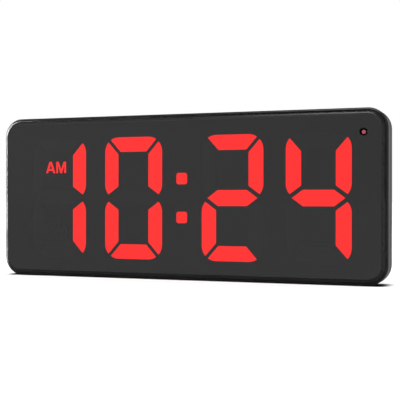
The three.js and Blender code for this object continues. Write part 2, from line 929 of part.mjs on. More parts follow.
// Stand leg: a plate with rounded tip corners below a round knuckle
function standLeg() {
  const half = standWidth / 2;
  const tip = standFootHeight;
  const outline = [
    ...arc(standTipRadius - half, tip + standTipRadius, standTipRadius, 180, 270, arcSteps),
    ...arc(half - standTipRadius, tip + standTipRadius, standTipRadius, 270, 360, arcSteps),
    new THREE.Vector2(half, standHingeHeight),
    new THREE.Vector2(-half, standHingeHeight),
  ];
  const plate = prism(outline, [standInnerDepth, standOuterDepth]);
  const onAxis = (radius, reach) => crossBar(standHingeDepth, standHingeHeight, radius, around(0, reach));
  const knuckle = onAxis(standKnuckleRadius, half);
  const bore = onAxis(standPinRadius + clearance, half + overshoot);
  return cut(join(plate, knuckle), bore);
}

function standHingePin() {
  const reach = recessHalfWidth + standPinReach - clearance;
  return crossBar(standHingeDepth, standHingeHeight, standPinRadius, around(0, reach));
}

// Coin cell with the smaller cap towards the board
function coinCell() {
  const round = (radius, depths) => disc(batteryX, batteryZ, radius, depths, cupSides);
  return join(
    round(cellRadius, [cellFront + cellCapHeight, cellBack]),
    round(cellRadius - cellCapInset, [cellFront, cellBack]),
  );
}

// Leaf spring under the cell, bent up from the cup's floor, with a leg to the board
function minusContact() {
  const rise = springRoom - clearance - contactThickness;
  const bends = [
    [minusLegX, 0],
    [batteryX - leafBend, 0],
    [batteryX + leafBend, rise],
    [batteryX + leafTip, rise],
  ];
  const face = (lift) => bends.map(([x, up]) => new THREE.Vector2(x, yAt(cupFloorBack + up + lift)));
  const outline = new THREE.Shape([...face(0), ...face(contactThickness).reverse()]);
  const leaf = new THREE.ExtrudeGeometry(outline, { depth: contactWidth, bevelEnabled: false });
  leaf.translate(0, 0, batteryZ - contactWidth / 2);
  const leg = block(
    [minusLegX, minusLegX + contactThickness],
    [boardBack, cupFloorBack + contactThickness / 2],
    around(batteryZ, contactLegWidth / 2),
  );
  return join(toSolid(leaf), leg);
}

// Upright tab beside the cell, with a narrower leg to the board
function plusContact() {
  const across = [plusTabX, plusTabX + contactThickness];
  return join(
    block(across, [cupFloorBack + clearance, cellBack - clearance], around(batteryZ, contactWidth / 2)),
    block(across, [boardBack, cellFront], around(batteryZ, contactLegWidth / 2)),
  );
}

// Round door with a skirt, two locking lugs and a slot for a coin
function batteryDoor() {
  const round = (radius, depths) => disc(batteryX, batteryZ, radius, depths, cupSides);
  const skirt = cut(
    round(skirtOuterRadius, [lugFront, doorFront + doorThickness / 2]),
    round(skirtInnerRadius, [lugFront - overshoot, doorFront]),
  );
  const insideSkirt = (skirtInnerRadius + skirtOuterRadius) / 2;
  const lugs = doorLugMiddles.map((middle) => prism(
    lugSector(insideSkirt, lugRadius, middle, doorLugAngle / 2),
    [lugFront, lugBack],
  ));
  const slot = block(
    around(batteryX, coinSlotLength / 2),
    [bodyDepth - coinSlotDepth, beyondBack],
    around(batteryZ, coinSlotWidth / 2),
  );
  return cut(join(round(doorRadius, [doorFront, bodyDepth]), skirt, ...lugs), slot);
}

// Power socket with its mouth down into the plug bay
function dcJack() {
  const body = block(
    around(plugBayX, jackWidth / 2),
    [boardBack, boardBack + jackDepth],
    [jackBase, jackBase + jackHeight],
  );
  const boreTop = jackBase + jackBoreLength;
  const bore = upright(plugBayX, jackAxisDepth, jackBoreRadius, [jackBase - overshoot, boreTop]);
  const pinEnds = [jackBase + jackPinSink, boreTop + jackPinSink];
  return join(cut(body, bore), upright(plugBayX, jackAxisDepth, jackPinRadius, pinEnds));
}

// A button drawn about its own axis: stem, retaining flange and cap
function button() {
  const flangeBack = wallFront - clearance;
  const flangeFront = flangeBack - buttonFlangeHeight;
  const stemFront = boardBack + switchHeight - switchWellDepth + clearance + buttonTravel;
  return join(
    disc(0, 0, buttonStemRadius, [stemFront, flangeBack]),
    disc(0, 0, buttonRadius + buttonFlangeReach, [flangeFront, flangeBack]),
    disc(0, 0, buttonRadius, [flangeFront, bodyDepth - panelSink + buttonStand]),
  );
}

// A push switch drawn about its own axis, with a well for the button's stem
function tactSwitch() {
  const top = boardBack + switchHeight;
  const body = block(around(0, switchSize / 2), [boardBack, top], around(0, switchSize / 2));
  return cut(body, disc(0, 0, buttonStemRadius + clearance, [top - switchWellDepth, top + overshoot]));
}

// A screw drawn about its own axis, with a crossed recess in its head
function rearScrew() {
  const seat = bodyDepth - screwHeadSink;
  const top = seat + screwHeadHeight;
  const long = around(0, screwSlotLength / 2);
  const narrow = around(0, screwSlotWidth / 2);
  const recess = [top - screwSlotDepth, top + overshoot];
  return cut(
    join(
      disc(0, 0, screwRadius, [frameBack - screwGrip, seat + screwHeadHeight / 2]),
      disc(0, 0, screwHeadRadius, [seat, top]),
    ),
    block(long, recess, narrow),
    block(narrow, recess, long),
  );
}

function alarmBuzzer() {
  const top = boardBack + buzzerHeight;
  const holeDepths = [top - buzzerHoleDepth, top + overshoot];
  return cut(
    disc(buzzerX, buzzerZ, buzzerRadius, [boardBack, top]),
    disc(buzzerX, buzzerZ, soundHoleRadius, holeDepths, smallHoleSides),
  );
}

// Chip package with a comb of leads on two sides
function microcontroller() {
  const half = controllerSize / 2;
  const body = block(
    around(controllerX, half),
    [boardBack, boardBack + controllerThickness],
    around(controllerZ, half),
  );
  const leadLevels = [boardBack, boardBack + leadHeight];
  const leads = [-1, 1].flatMap((side) => Array.from({ length: controllerLeads }, (_, index) => {
    const ends = [half - leadWidth, half + leadReach].map((reach) => controllerX + side * reach);
    const z = controllerZ + (index - (controllerLeads - 1) / 2) * leadPitch;
    return block(ends.sort((low, high) => low - high), leadLevels, around(z, leadWidth / 2));
  }));
  return join(body, ...leads);
}

function timekeepingCrystal() {
  const half = crystalLength / 2 - crystalWidth / 2;
  const can = capsule(0, -half, half, crystalWidth / 2, capsuleSteps);
  const lying = can.map((point) => new THREE.Vector2(crystalX + point.y, controllerZ - point.x));
  return prism(lying, [boardBack, boardBack + crystalHeight]);
}

// The assembly
function piece(name, solid, material) {
  const mesh = new THREE.Mesh(toGeometry(solid), material);
  mesh.name = name;
  return mesh;
}

function groupAt(x, z, ...pieces) {
  const group = new THREE.Group();
  group.position.set(x, 0, z);
  group.add(...pieces);
  return group;
}

function digit(index) {
  const bars = Object.entries(segmentPlans).map(([letter, plan]) => {
    const material = litTime[index].includes(letter) ? litDiffuser() : unlitDiffuser();
    return piece(`digit_${index + 1}_segment_${letter}`, diffuser(segmentOutline(plan, 0)), material);
  });
  return groupAt(digitPlaces[index], 0, ...bars);
}

function display() {
  return groupAt(
    0,
    displayHeight,
    ...digitPlaces.map((_, index) => digit(index)),
    piece("colon_dot_upper", diffuser(dotOutline(1, 0)), litDiffuser()),
    piece("colon_dot_lower", diffuser(dotOutline(-1, 0)), litDiffuser()),
    piece("am_indicator", indicator(1, letterA), litDiffuser()),
    piece("pm_indicator", indicator(-1, letterP), unlitDiffuser()),
  );
}

const clock = new THREE.Group();
clock.add(
  piece("front_cover", frontCover(), smokedAcrylic()),
  piece("rear_cover", rearCover(), housingPlastic()),
  piece("display_frame", displayFrame(), mattePlastic()),
  piece("main_board", mainBoard(), boardLaminate()),
  piece("light_sensor", lightSensor(), sensorResin()),
  piece("sensor_sleeve", sensorSleeve(), rubber()),
  piece("stand_leg", standLeg(), housingPlastic()),
  piece("stand_hinge_pin", standHingePin(), steel()),
  piece("coin_cell", coinCell(), steel()),
  piece("battery_contact_minus", minusContact(), springBrass()),
  piece("battery_contact_plus", plusContact(), springBrass()),
  piece("battery_door", batteryDoor(), housingPlastic()),
  piece("dc_jack", dcJack(), packagePlastic()),
  piece("alarm_buzzer", alarmBuzzer(), packagePlastic()),
  piece("microcontroller", microcontroller(), packagePlastic()),
  piece("timekeeping_crystal", timekeepingCrystal(), steel()),
  display(),
  ...buttonPlaces.map((x, index) => groupAt(
    x,
    buttonRowZ,
    piece(`button_${buttonNames[index]}`, button(), rubber()),
    piece(`tact_switch_${buttonNames[index]}`, tactSwitch(), packagePlastic()),
  )),
  ...screwPlaces.map(([x, z], index) => groupAt(
    x,
    z,
    piece(`rear_screw_${index + 1}`, rearScrew(), blackScrewSteel()),
  )),
);

export default clock;
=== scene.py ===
"""Finish of the digital wall clock: smoked cover, glowing seven-segment digits and a moulded back.

Metres, Z up, X to the right and the face towards -Y. A depth is measured from the face towards the back.
"""

import math

import bmesh
import bpy
import numpy as np
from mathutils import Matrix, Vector


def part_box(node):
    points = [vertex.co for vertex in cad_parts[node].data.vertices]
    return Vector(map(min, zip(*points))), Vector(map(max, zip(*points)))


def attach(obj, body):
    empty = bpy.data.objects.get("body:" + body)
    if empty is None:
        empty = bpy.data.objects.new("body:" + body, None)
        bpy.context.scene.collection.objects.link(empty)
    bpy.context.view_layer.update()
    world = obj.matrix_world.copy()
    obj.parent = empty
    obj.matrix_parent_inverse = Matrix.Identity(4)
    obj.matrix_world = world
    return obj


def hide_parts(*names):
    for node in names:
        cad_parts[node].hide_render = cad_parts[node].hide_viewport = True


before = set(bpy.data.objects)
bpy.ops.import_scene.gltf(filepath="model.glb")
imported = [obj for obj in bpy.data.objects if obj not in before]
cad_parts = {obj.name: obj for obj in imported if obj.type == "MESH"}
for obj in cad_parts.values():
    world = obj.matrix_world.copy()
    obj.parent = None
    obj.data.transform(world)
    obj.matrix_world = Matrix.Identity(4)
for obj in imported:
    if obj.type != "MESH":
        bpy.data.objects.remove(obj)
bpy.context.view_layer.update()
MM = 0.001

# Body
BODY_LOW, BODY_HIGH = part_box("rear_cover")
BODY_WIDTH = BODY_HIGH.x - BODY_LOW.x
BODY_HEIGHT = BODY_HIGH.z - BODY_LOW.z
BODY_MIDDLE_Z = (BODY_HIGH.z + BODY_LOW.z) / 2
BACK_Y = BODY_HIGH.y
FACE_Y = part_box("front_cover")[0].y
CORNER_RADIUS = 15.2 * MM
CORNER_STEPS = 24
CORNER_CUTS = 2
LEAST_CHORD_ANGLE = math.radians(2)
CHORD_ANGLE_SLACK = math.radians(0.5)
STATION_ANGLE = math.radians(5)

# Smoked cover
COVER_LOW, COVER_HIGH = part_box("front_cover")
COVER_GROWTH = 0.3 * MM
COVER_INSET = COVER_LOW.x - BODY_LOW.x - COVER_GROWTH
COVER_DEPTH = COVER_HIGH.y - FACE_Y
COVER_THICKNESS = 2 * MM
COVER_ROUND = 3 * MM
COVER_INNER_ROUND = 1 * MM
SKIRT_WALL = 1.8 * MM
TINT = 0.52
CLEAR_DEPTH = (1.2 * MM, 1.6 * MM)
HOLD = 0.3 * MM
ROUND_STEPS = 12

# Light sensor
SENSOR_HOLE_RADIUS = 2.8 * MM
SENSOR_HOLE_ROUND = 0.15 * MM
SENSOR_HOLE_STEPS = 4
SENSOR_RADIUS = 1.8 * MM
SENSOR_STEPS = 12
SLEEVE_CLEARANCE = 0.1 * MM
SLEEVE_PLAY = 0.08 * MM
SLEEVE_LIP = 0.15 * MM
CHIP_SHADE = (0.3 * MM, 1.1 * MM)
DOME_SHEEN = (0.3 * MM, 1.2 * MM)

# Housing finish: where it changes, as fades from a start to an end
RIM_WIDTH = 1.4 * MM
GAP_BLEND = 0.1 * MM
RIM_DEPTH = (9 * MM, 5 * MM)
BACK_INSET = (2.6 * MM, 3.4 * MM)
SIDE_ROUGHNESS = 0.28
RIM_POLISH = 0.16
BACK_ROUGHER = 0.16
GAP_ROUGHER = 0.7
CLOUD_ROUGHER = 0.05

# Between these two values lies most of a noise texture
NOISE_SPREAD = (0.3, 0.7)

# Digits
DIGIT_WIDTH = 50 * MM
DIGIT_HEIGHT = 98 * MM
BAR_WIDTH = 12.1 * MM
MIDDLE_BAR_HEIGHT = 12.7 * MM
DIGIT_CORNER_RADIUS = 12 * MM
LOOP_OVERLAP = 1.2 * MM
CORNER_MITRE_ANGLE = math.radians(48.6)
CORNER_MITRE_GAP = 2.4 * MM
WAIST_MITRE_ANGLE = math.radians(36.3)
WAIST_MITRE_GAP = 3 * MM
WAIST_POINT_INSET = 2 * MM
DOT_RADIUS = 2 * MM
LOOP_STEPS = 16
DOT_STEPS = 8
DIFFUSER_ROUND = 0.45 * MM
SLAB_STEPS = 5
GLOW_DEPTH = 0.06 * MM
BAR_FRONT, BAR_BACK = (corner.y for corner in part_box("digit_1_segment_a"))
LIT_SEGMENTS = ["bc", "abcdef", "abdeg", "bcfg"]

# Letters of the lit indicator
LETTER_HEIGHT = 9.4 * MM
LETTER_A_WIDTH = 8.6 * MM
LETTER_M_WIDTH = 9 * MM
LETTER_STROKE = 1.6 * MM
LETTER_TOP = 2.2 * MM
LETTER_POINT = 1.7 * MM
LETTER_BAR_LOW = 1.9 * MM
LETTER_BAR_HIGH = 3.5 * MM
LETTER_A_FOOT = 1.08
LETTER_A_CROTCH = 0.74
LETTER_M_NOTCH = 0.3
LETTER_M_VALLEY = 0.32
LETTER_M_SHOULDER = 1.35
LETTER_GAP = 0.95 * MM
LETTER_SHIFT = 0.62 * MM
LETTER_RAISE = 0.25 * MM
LETTER_RELIEF = 0.08 * MM
MASK_RADIUS = 0.4 * MM
MASK_STEPS = 3

# Back
BUTTON_NAMES = ["set", "alarm", "up", "down"]
BUTTON_CAP_RADIUS = 4.4 * MM
BUTTON_STEM_RADIUS = 1.5 * MM
BUTTON_FLANGE_HEIGHT = 1.2 * MM
BUTTON_ROUND = 0.7 * MM
BUTTON_CROWN = 0.25 * MM
BUTTON_SEAT = 2.6 * MM
BUTTON_STEPS = 5
CROWN_START = 0.9
SYMBOL_RELIEF = 0.12 * MM
SYMBOL_ROOT = 0.35 * MM
SYMBOL_ROUND = 0.04 * MM
SYMBOL_RADIUS = 1.7 * MM
SYMBOL_STROKE = 0.5 * MM
BELL_DOME = 0.95 * MM
BELL_LIP = 1.65 * MM
BELL_NECK = 1.1 * MM
BELL_STEPS = 14
BELL_CENTRE = 0.4
BELL_WAIST = 0.8
BELL_FOOT = 1.4
HAND_REACH = 0.6
ARROW_SIZE = 1.6 * MM
ARROW_REACH = 0.85
ARROW_FOOT = 0.6
INK_RELIEF = 0.03 * MM
INK_ROOT = 0.05 * MM
INK_ROUND = INK_RELIEF / 3
MARK_RADIUS = 1.3 * MM
MARK_DISTANCE = 17.2 * MM
MARK_SIDES = 40
DOOR_TURN = math.radians(30)
DOOR_POINTER_DISTANCE = 11.3 * MM
DOOR_POINTER_SIZE = 1.2 * ARROW_SIZE
LABEL_CENTRE = (-95 * MM, 28 * MM)
LABEL_WIDTH = 48 * MM
LABEL_HEIGHT = 22 * MM
LABEL_RADIUS = 1.5 * MM
LABEL_BED = 0.4 * MM
LABEL_THICKNESS = 0.12 * MM
LABEL_ROUND = LABEL_THICKNESS / 4
PAD_WIDTH = 46 * MM
PAD_HEIGHT = 3.4 * MM
PAD_RELIEF = 0.3 * MM
PAD_FROM_FOOT = 3.6 * MM
RIB_WIDTH = 20 * MM
RIB_HEIGHT = 0.9 * MM
RIB_PITCH = 2 * MM
RIB_FROM_FOOT = 8.5 * MM
RIB_RELIEF = 0.25 * MM
RIB_COUNT = 3
RIB_STEPS = 6
PLATE_STEPS = 8
END_RADIUS_SHARE = 1 / 2.2
SCREW_COUNT = 4

# Edges
CIRCLE_SIDES = 48
EDGE_ROUND = 0.25 * MM
LID_ROUND = 0.2 * MM
STAND_ROUND = 0.35 * MM
BEVEL_SEGMENTS = 2
FLAT_WEIGHT = 100
SHARP_ANGLE = math.radians(50)
FLAT_ANGLE = math.radians(25)
COPLANAR_ANGLE = math.radians(0.5)
SKIN_MERGE = 1e-7
COPY_MERGE = 1e-6
HAIR = 1e-5

# Camera
CAMERA_PLACE = (247.58 * MM, -655.42 * MM, 62.76 * MM)
CAMERA_TURN = math.radians(19.802)
CAMERA_ROLL = math.radians(-0.045)
CAMERA_LENS = 79.293

# Floor, in metres, and how bright mirrors see it
FLOOR_SIZE = 60
# Painted contact shadow on the floor: its grey, the occlusion reach and share, and the box under the
# clock's foot
PAINTED_SHADOW_GREY = 0.02
FLOOR_WHITE = 0.9
FLOOR_LIFT = 0.12
CONTACT_REACH = 30 * MM
CONTACT_SHARE = (0.28, 0.5)
FOOT_DEPTH = (14 * MM, 11 * MM)
FOOT_LEFT = (-160 * MM, -152 * MM)
FOOT_RIGHT = (166 * MM, 150 * MM)
FOOT_SHADE = 0.95
NEAR_SHADE = 0.5
NEAR_FRONT = (-45 * MM, -80 * MM)
PAST_RIGHT = (130 * MM, 200 * MM)
AHEAD_LEVEL = 0.92
PAST_RIGHT_LEVEL = 0.55
BEHIND_START = (-30 * MM, 30 * MM)
BEHIND_LEVEL = 0.44
BEHIND_FLOOR = 0.8
BESIDE_LEVEL = 6.0
BESIDE_START = (-165 * MM, -180 * MM)
BESIDE_FAR = (-800 * MM, -350 * MM)
BESIDE_FAR_SHARE = 0.5
BESIDE_FRONT_SLOPE = 0.6
BESIDE_FRONT = (93 * MM, 120 * MM)
BESIDE_BACK_SLOPE = 0.55
BESIDE_BACK = (-50 * MM, -85 * MM)

# World: fades over the parts of a direction, and the levels that mirrors see
FRONT_TURN = (0.05, -0.5)
FRONT_LEVEL = 0.87
LEFT_TURN = (-0.55, -0.1)
LEFT_LEVEL = 0.96
RIGHT_TURN = (0.1, 0.5)
RIGHT_SHARE = 0.55
FAR_LEFT_TURN = (-0.6, -0.9)
FAR_LEFT_SHARE = 0.6
UPPER_RISE = (0.15, 0.5)
UPPER_SHARE = 0.7
BEHIND_TURN = (-0.05, 0.1)
BEHIND_DARK = 0.03
BEHIND_SIDE_TURN = (0.2, 0.45)
BEHIND_SIDE_SHARE = 0.4
BOX_BOTTOM = (0.35, 0.5)
BOX_TOP = (0.95, 0.85)
BOX_LEFT = (-0.36, -0.12)
BOX_RIGHT = (0.25, 0.0)
BOX_FRONT = (0.1, -0.1)
BOX_LEVEL = 3.2
AMBIENT = 0.45

# Lamps
KEY_ANGLE = math.radians(50)
RIM_AIM = (-160 * MM, -10 * MM, 120 * MM)
COVER_AIM = (-160 * MM, -10 * MM, 370 * MM)
CORNER_AIM = (-150 * MM, -10 * MM, 120 * MM)
CLOCK_AIM = (0, 0, BODY_MIDDLE_Z)


# Meshes
def made(name, mesh, finish, body="clock_body", node=None, slot=None):
    """Puts a mesh in the scene as a finished piece that rides on a body."""
    piece = bpy.data.objects.new(name, mesh)
    bpy.context.scene.collection.objects.link(piece)
    mesh.materials.clear()
    mesh.materials.append(finish)
    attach(piece, body)
    if node:
        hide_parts(node)
    return piece


def mesh_of(name, points, faces):
    """A mesh of an array of points and the faces' point numbers."""
    mesh = bpy.data.meshes.new(name)
    mesh.from_pydata(points.tolist(), [], [list(map(int, face)) for face in faces])
    return mesh


def grid_faces(rows, columns, closed_rows):
    """Quads between neighbours on a grid whose columns close on themselves; its rows may close too."""
    index = np.arange(rows * columns).reshape(rows, columns)
    across = np.roll(index, -1, axis=1)
    down = np.roll(index, -1, axis=0)
    both = np.roll(across, -1, axis=0)
    quads = np.stack([index, across, both, down], axis=-1)
    if not closed_rows:
        quads = quads[:-1]
    return quads.reshape(-1, 4)


def smooth(mesh):
    """Smooth shading with an edge where faces meet at a sharp angle, and faces turned outwards."""
    shape = bmesh.new()
    shape.from_mesh(mesh)
    bmesh.ops.remove_doubles(shape, verts=shape.verts, dist=SKIN_MERGE)
    bmesh.ops.recalc_face_normals(shape, faces=shape.faces)
    shape.to_mesh(mesh)
    shape.free()
    mesh.shade_smooth()
    mesh.set_sharp_from_angle(angle=SHARP_ANGLE)
    return mesh


def carried(name, rows):
    """A closed skin over rows of points, each the same path at another inset and depth; the rows close."""
    points = np.stack(rows)
    return smooth(mesh_of(name, points.reshape(-1, 3), grid_faces(*points.shape[:2], True)))


def capped(name, rows):
    """A skin over rows of points with a flat face on the first and the last row."""
    points = np.stack(rows)
    count = points.shape[1]
    last = (len(rows) - 1) * count
    faces = [*grid_faces(*points.shape[:2], False), range(count), range(last, last + count)]
    return smooth(mesh_of(name, points.reshape(-1, 3), faces))


def turned(name, centre, profile):
    """A shape of revolution about a Y axis: each profile point is a radius and a Y place."""
    radius, y = np.array(profile, float).T
    angle = np.linspace(0, 2 * np.pi, CIRCLE_SIDES, endpoint=False)
    x = centre[0] + radius[:, None] * np.cos(angle)
    z = centre[1] + radius[:, None] * np.sin(angle)
    rows = np.stack([x, np.broadcast_to(y[:, None], x.shape), z], axis=-1)
    return capped(name, rows)


def at_depth(outline, y):
    """A flat outline in X and Z as points at one Y place."""
    return np.stack([outline[:, 0], np.full(len(outline), y), outline[:, 1]], axis=-1)


def inset(outline, distance):
    """An outline moved inwards: a point moves against the sum of its edges' normals, more at a corner."""
    edge = np.roll(outline, -1, axis=0) - outline
    normal = np.stack([edge[:, 1], -edge[:, 0]], axis=-1)
    normal /= np.linalg.norm(normal, axis=-1, keepdims=True)
    before = np.roll(normal, 1, axis=0)
    share = 1 + (normal * before).sum(axis=-1, keepdims=True)
    return outline - distance * (normal + before) / share


def slab(name, outline, front, back, rounding=DIFFUSER_ROUND):
    """A plate with a flat outline, its front edge a quarter circle."""
    inwards = rounding if front < back else -rounding
    rows = [at_depth(outline, back)]
    for angle in np.linspace(0, np.pi / 2, SLAB_STEPS + 1):
        moved = inset(outline, rounding * (1 - math.cos(angle)))
        rows.append(at_depth(moved, front + inwards * (1 - math.sin(angle))))
    return capped(name, rows)


def round_corners(shape):
    """Cuts the chords of the body's corner arcs in equal parts and moves the new points to the arc."""
    middle = Vector((0, 0, BODY_MIDDLE_Z))
    reach = Vector((BODY_WIDTH / 2 - CORNER_RADIUS, 0, BODY_HEIGHT / 2 - CORNER_RADIUS))

    def from_centre(point):
        """The flat vector from the corner's centre, or none where the point isn't in a corner."""
        side = point - middle
        centre = Vector((math.copysign(reach.x, side.x), 0, math.copysign(reach.z, side.z)))
        arm = Vector((side.x - centre.x, 0, side.z - centre.z))
        in_corner = arm.x * side.x > -HAIR * MM and arm.z * side.z > -HAIR * MM
        return arm if in_corner else None

    def chord(edge):
        """The angle of an edge that spans part of one corner arc, else nothing."""
        first, last = (from_centre(vert.co) for vert in edge.verts)
        if first is None or last is None or abs(edge.verts[0].co.y - edge.verts[1].co.y) > HAIR:
            return 0
        same = abs(first.length - last.length) < HAIR and (first - last).length < CORNER_RADIUS
        return first.angle(last) if same and first.length > CORNER_RADIUS / 2 else 0

    chords = [(edge, chord(edge)) for edge in shape.edges]
    chords = [(edge, angle) for edge, angle in chords if angle > LEAST_CHORD_ANGLE]
    step = sorted(angle for _, angle in chords)[len(chords) // 2]
    chosen = [edge for edge, angle in chords if abs(angle - step) < CHORD_ANGLE_SLACK]
    cut = bmesh.ops.subdivide_edges(shape, edges=chosen, cuts=CORNER_CUTS, use_grid_fill=True)
    added = [item for item in cut["geom_inner"] if isinstance(item, bmesh.types.BMVert)]
    # On a circle of radius one: both new points lie this far along the chord from its middle.
    along = math.sin(step / 2) * (CORNER_CUTS - 1) / (CORNER_CUTS + 1)
    growth = 1 / math.hypot(math.cos(step / 2), along)
    for vert in added:
        arm = from_centre(vert.co)
        if arm:
            vert.co += arm * (growth - 1)


def refined(name, node, rounding=EDGE_ROUND, rounder=None, **place):
    """A copy of a CAD node, merged into one skin, with flat faces whole and sharp edges rounded."""
    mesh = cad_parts[node].data.copy()
    mesh.name = name
    shape = bmesh.new()
    shape.from_mesh(mesh)
    bmesh.ops.remove_doubles(shape, verts=shape.verts, dist=COPY_MERGE)
    bmesh.ops.dissolve_limit(shape, angle_limit=COPLANAR_ANGLE, verts=shape.verts, edges=shape.edges)
    if rounder:
        rounder(shape)
    shape.to_mesh(mesh)
    shape.free()
    mesh.shade_smooth()
    mesh.set_sharp_from_angle(angle=FLAT_ANGLE)
    piece = made(name, mesh, node=node, **place)
    edges = piece.modifiers.new("edge rounding", "BEVEL")
    edges.width = rounding
    edges.segments = BEVEL_SEGMENTS
    edges.limit_method = "ANGLE"
    edges.angle_limit = SHARP_ANGLE
    edges.use_clamp_overlap = True
    flats = piece.modifiers.new("flat faces", "WEIGHTED_NORMAL")
    flats.weight = FLAT_WEIGHT
    flats.keep_sharp = True
    return piece


# Outlines
def arc(x, z, radius, start, end, steps):
    """Points on a circle between two angles, in degrees."""
    angle = np.radians(np.linspace(start, end, steps + 1))
    return np.stack([x + radius * np.cos(angle), z + radius * np.sin(angle)], axis=-1)


def circle(x, z, radius, sides=CIRCLE_SIDES):
    """A whole circle without the point that would close it."""
    return arc(x, z, radius, 0, 360, sides)[:-1]


def rounded_rectangle(x, z, width, height, radius, steps):
    """Four quarter circles, from the upper right corner anticlockwise."""
    corners = [(1, 1, 0), (-1, 1, 90), (-1, -1, 180), (1, -1, 270)]
    reach_x, reach_z = width / 2 - radius, height / 2 - radius
    quarters = [
        arc(x + side * reach_x, z + level * reach_z, radius, start, start + 90, steps)
        for side, level, start in corners
    ]
    return np.concatenate(quarters)


def body_corners(inwards):
    """The four quarter circles of the body's outline moved inwards, in the outline's order."""
    width, height = BODY_WIDTH - 2 * inwards, BODY_HEIGHT - 2 * inwards
    outline = rounded_rectangle(0, BODY_MIDDLE_Z, width, height, CORNER_RADIUS - inwards, CORNER_STEPS)
    return outline.reshape(4, -1, 2)


def crossed(first, second):
    """The cross product of flat vectors."""
    return first[..., 0] * second[..., 1] - first[..., 1] * second[..., 0]


def side_stations(corners, centre):
    """Shares of each straight side where it is met by rays from a point, at even angles."""
    stations = []
    for start, end in zip(corners[:, -1], np.roll(corners[:, 0], -1, axis=0)):
        first, last = (math.atan2(*(point - centre)[::-1]) for point in (start, end))
        sweep = (last - first) % (2 * math.pi)
        count = math.ceil(sweep / STATION_ANGLE)
        angle = first + sweep * np.arange(1, count) / count
        ray = np.stack([np.cos(angle), np.sin(angle)], axis=-1)
        stations.append(-crossed(ray, start - centre) / crossed(ray, end - start))
    return stations


def body_ring(inwards, y, stations):
    """The body's outline moved inwards: quarter circles, and points at shares of the straight sides."""
    corners = body_corners(inwards)
    parts = []
    for quarter, end, shares in zip(corners, np.roll(corners[:, 0], -1, axis=0), stations):
        parts += [quarter, quarter[-1] + shares[:, None] * (end - quarter[-1])]
    return at_depth(np.concatenate(parts), y)


def quarter_round(side_inset, end_y, radius, direction):
    """Insets and Y places of a quarter circle from a flat end to a side wall."""
    angle = np.linspace(0, np.pi / 2, ROUND_STEPS + 1)
    inwards = side_inset + radius * (1 - np.sin(angle))
    return list(zip(inwards, end_y + direction * radius * (1 - np.cos(angle))))


def trimmed(outline, point, normal, shift):
    """The part of a convex outline behind a line, which cuts an edge in the share of its end gaps."""
    normal = np.array(normal) / np.linalg.norm(normal)
    gap = (outline - np.array(point)) @ normal - shift
    following = np.roll(gap, -1)
    crosses = gap * following < 0
    share = np.where(crosses, gap, 0) / np.where(crosses, gap - following, 1)
    meeting = outline + share[:, None] * (np.roll(outline, -1, axis=0) - outline)
    both = np.stack([outline, meeting], axis=1).reshape(-1, 2)
    return both[np.stack([gap <= 0, crosses], axis=1).ravel()]


def loop_outline():
    """The outside of a digit's upper loop, a rounded rectangle that passes the waist a little."""
    height = DIGIT_HEIGHT / 2 + LOOP_OVERLAP
    centre = (DIGIT_HEIGHT / 2 - LOOP_OVERLAP) / 2
    return rounded_rectangle(0, centre, DIGIT_WIDTH, height, DIGIT_CORNER_RADIUS, LOOP_STEPS)


def corner_cut(outline, side, facing):
    """Trims at the mitre between top and side bars; facing 1 keeps the side bar, -1 the top bar."""
    point = (side * (DIGIT_WIDTH / 2 - BAR_WIDTH), DIGIT_HEIGHT / 2 - BAR_WIDTH)
    across, upward = math.sin(CORNER_MITRE_ANGLE), math.cos(CORNER_MITRE_ANGLE)
    normal = (-side * across * facing, upward * facing)
    return trimmed(outline, point, normal, -CORNER_MITRE_GAP / 2)


def waist_cut(outline, side, level, facing):
    """Trims at the mitre between side and middle bars; facing 1 keeps the side bar, -1 the middle bar."""
    point = (side * (DIGIT_WIDTH / 2 - WAIST_POINT_INSET), 0)
    across, upward = math.sin(WAIST_MITRE_ANGLE), math.cos(WAIST_MITRE_ANGLE)
    normal = (-side * across * facing, -level * upward * facing)
    return trimmed(outline, point, normal, -WAIST_MITRE_GAP / 2)


def top_bar():
    """The loop's top strip, cut at both mitres."""
    outline = trimmed(loop_outline(), (0, DIGIT_HEIGHT / 2 - BAR_WIDTH), (0, -1), 0)
    return corner_cut(corner_cut(outline, 1, -1), -1, -1)


def side_bar():
    """The loop's right strip, cut at the corner's and the waist's mitre."""
    outline = trimmed(loop_outline(), (DIGIT_WIDTH / 2 - BAR_WIDTH, 0), (-1, 0), 0)
    return waist_cut(corner_cut(outline, 1, 1), 1, 1, 1)


def middle_bar():
    """A rectangle across the waist, cut to a point at both ends."""
    half = np.array([DIGIT_WIDTH, MIDDLE_BAR_HEIGHT]) / 2
    outline = np.array([[1, -1], [1, 1], [-1, 1], [-1, -1]]) * half
    for side, level in [(1, -1), (1, 1), (-1, 1), (-1, -1)]:
        outline = waist_cut(outline, side, level, -1)
    return outline


SEGMENTS = {
    "a": (top_bar, 1, 1),
    "b": (side_bar, 1, 1),
    "c": (side_bar, 1, -1),
    "d": (top_bar, 1, -1),
    "e": (side_bar, -1, -1),
    "f": (side_bar, -1, 1),
    "g": (middle_bar, 1, 1),
}


def segment_outline(letter):
    """A segment's outline about its digit's middle, from its shape and its mirrored sides."""
    shape, sign_x, sign_z = SEGMENTS[letter]
    outline = shape() * np.array([sign_x, sign_z])
    return outline[::-1] if sign_x * sign_z < 0 else outline


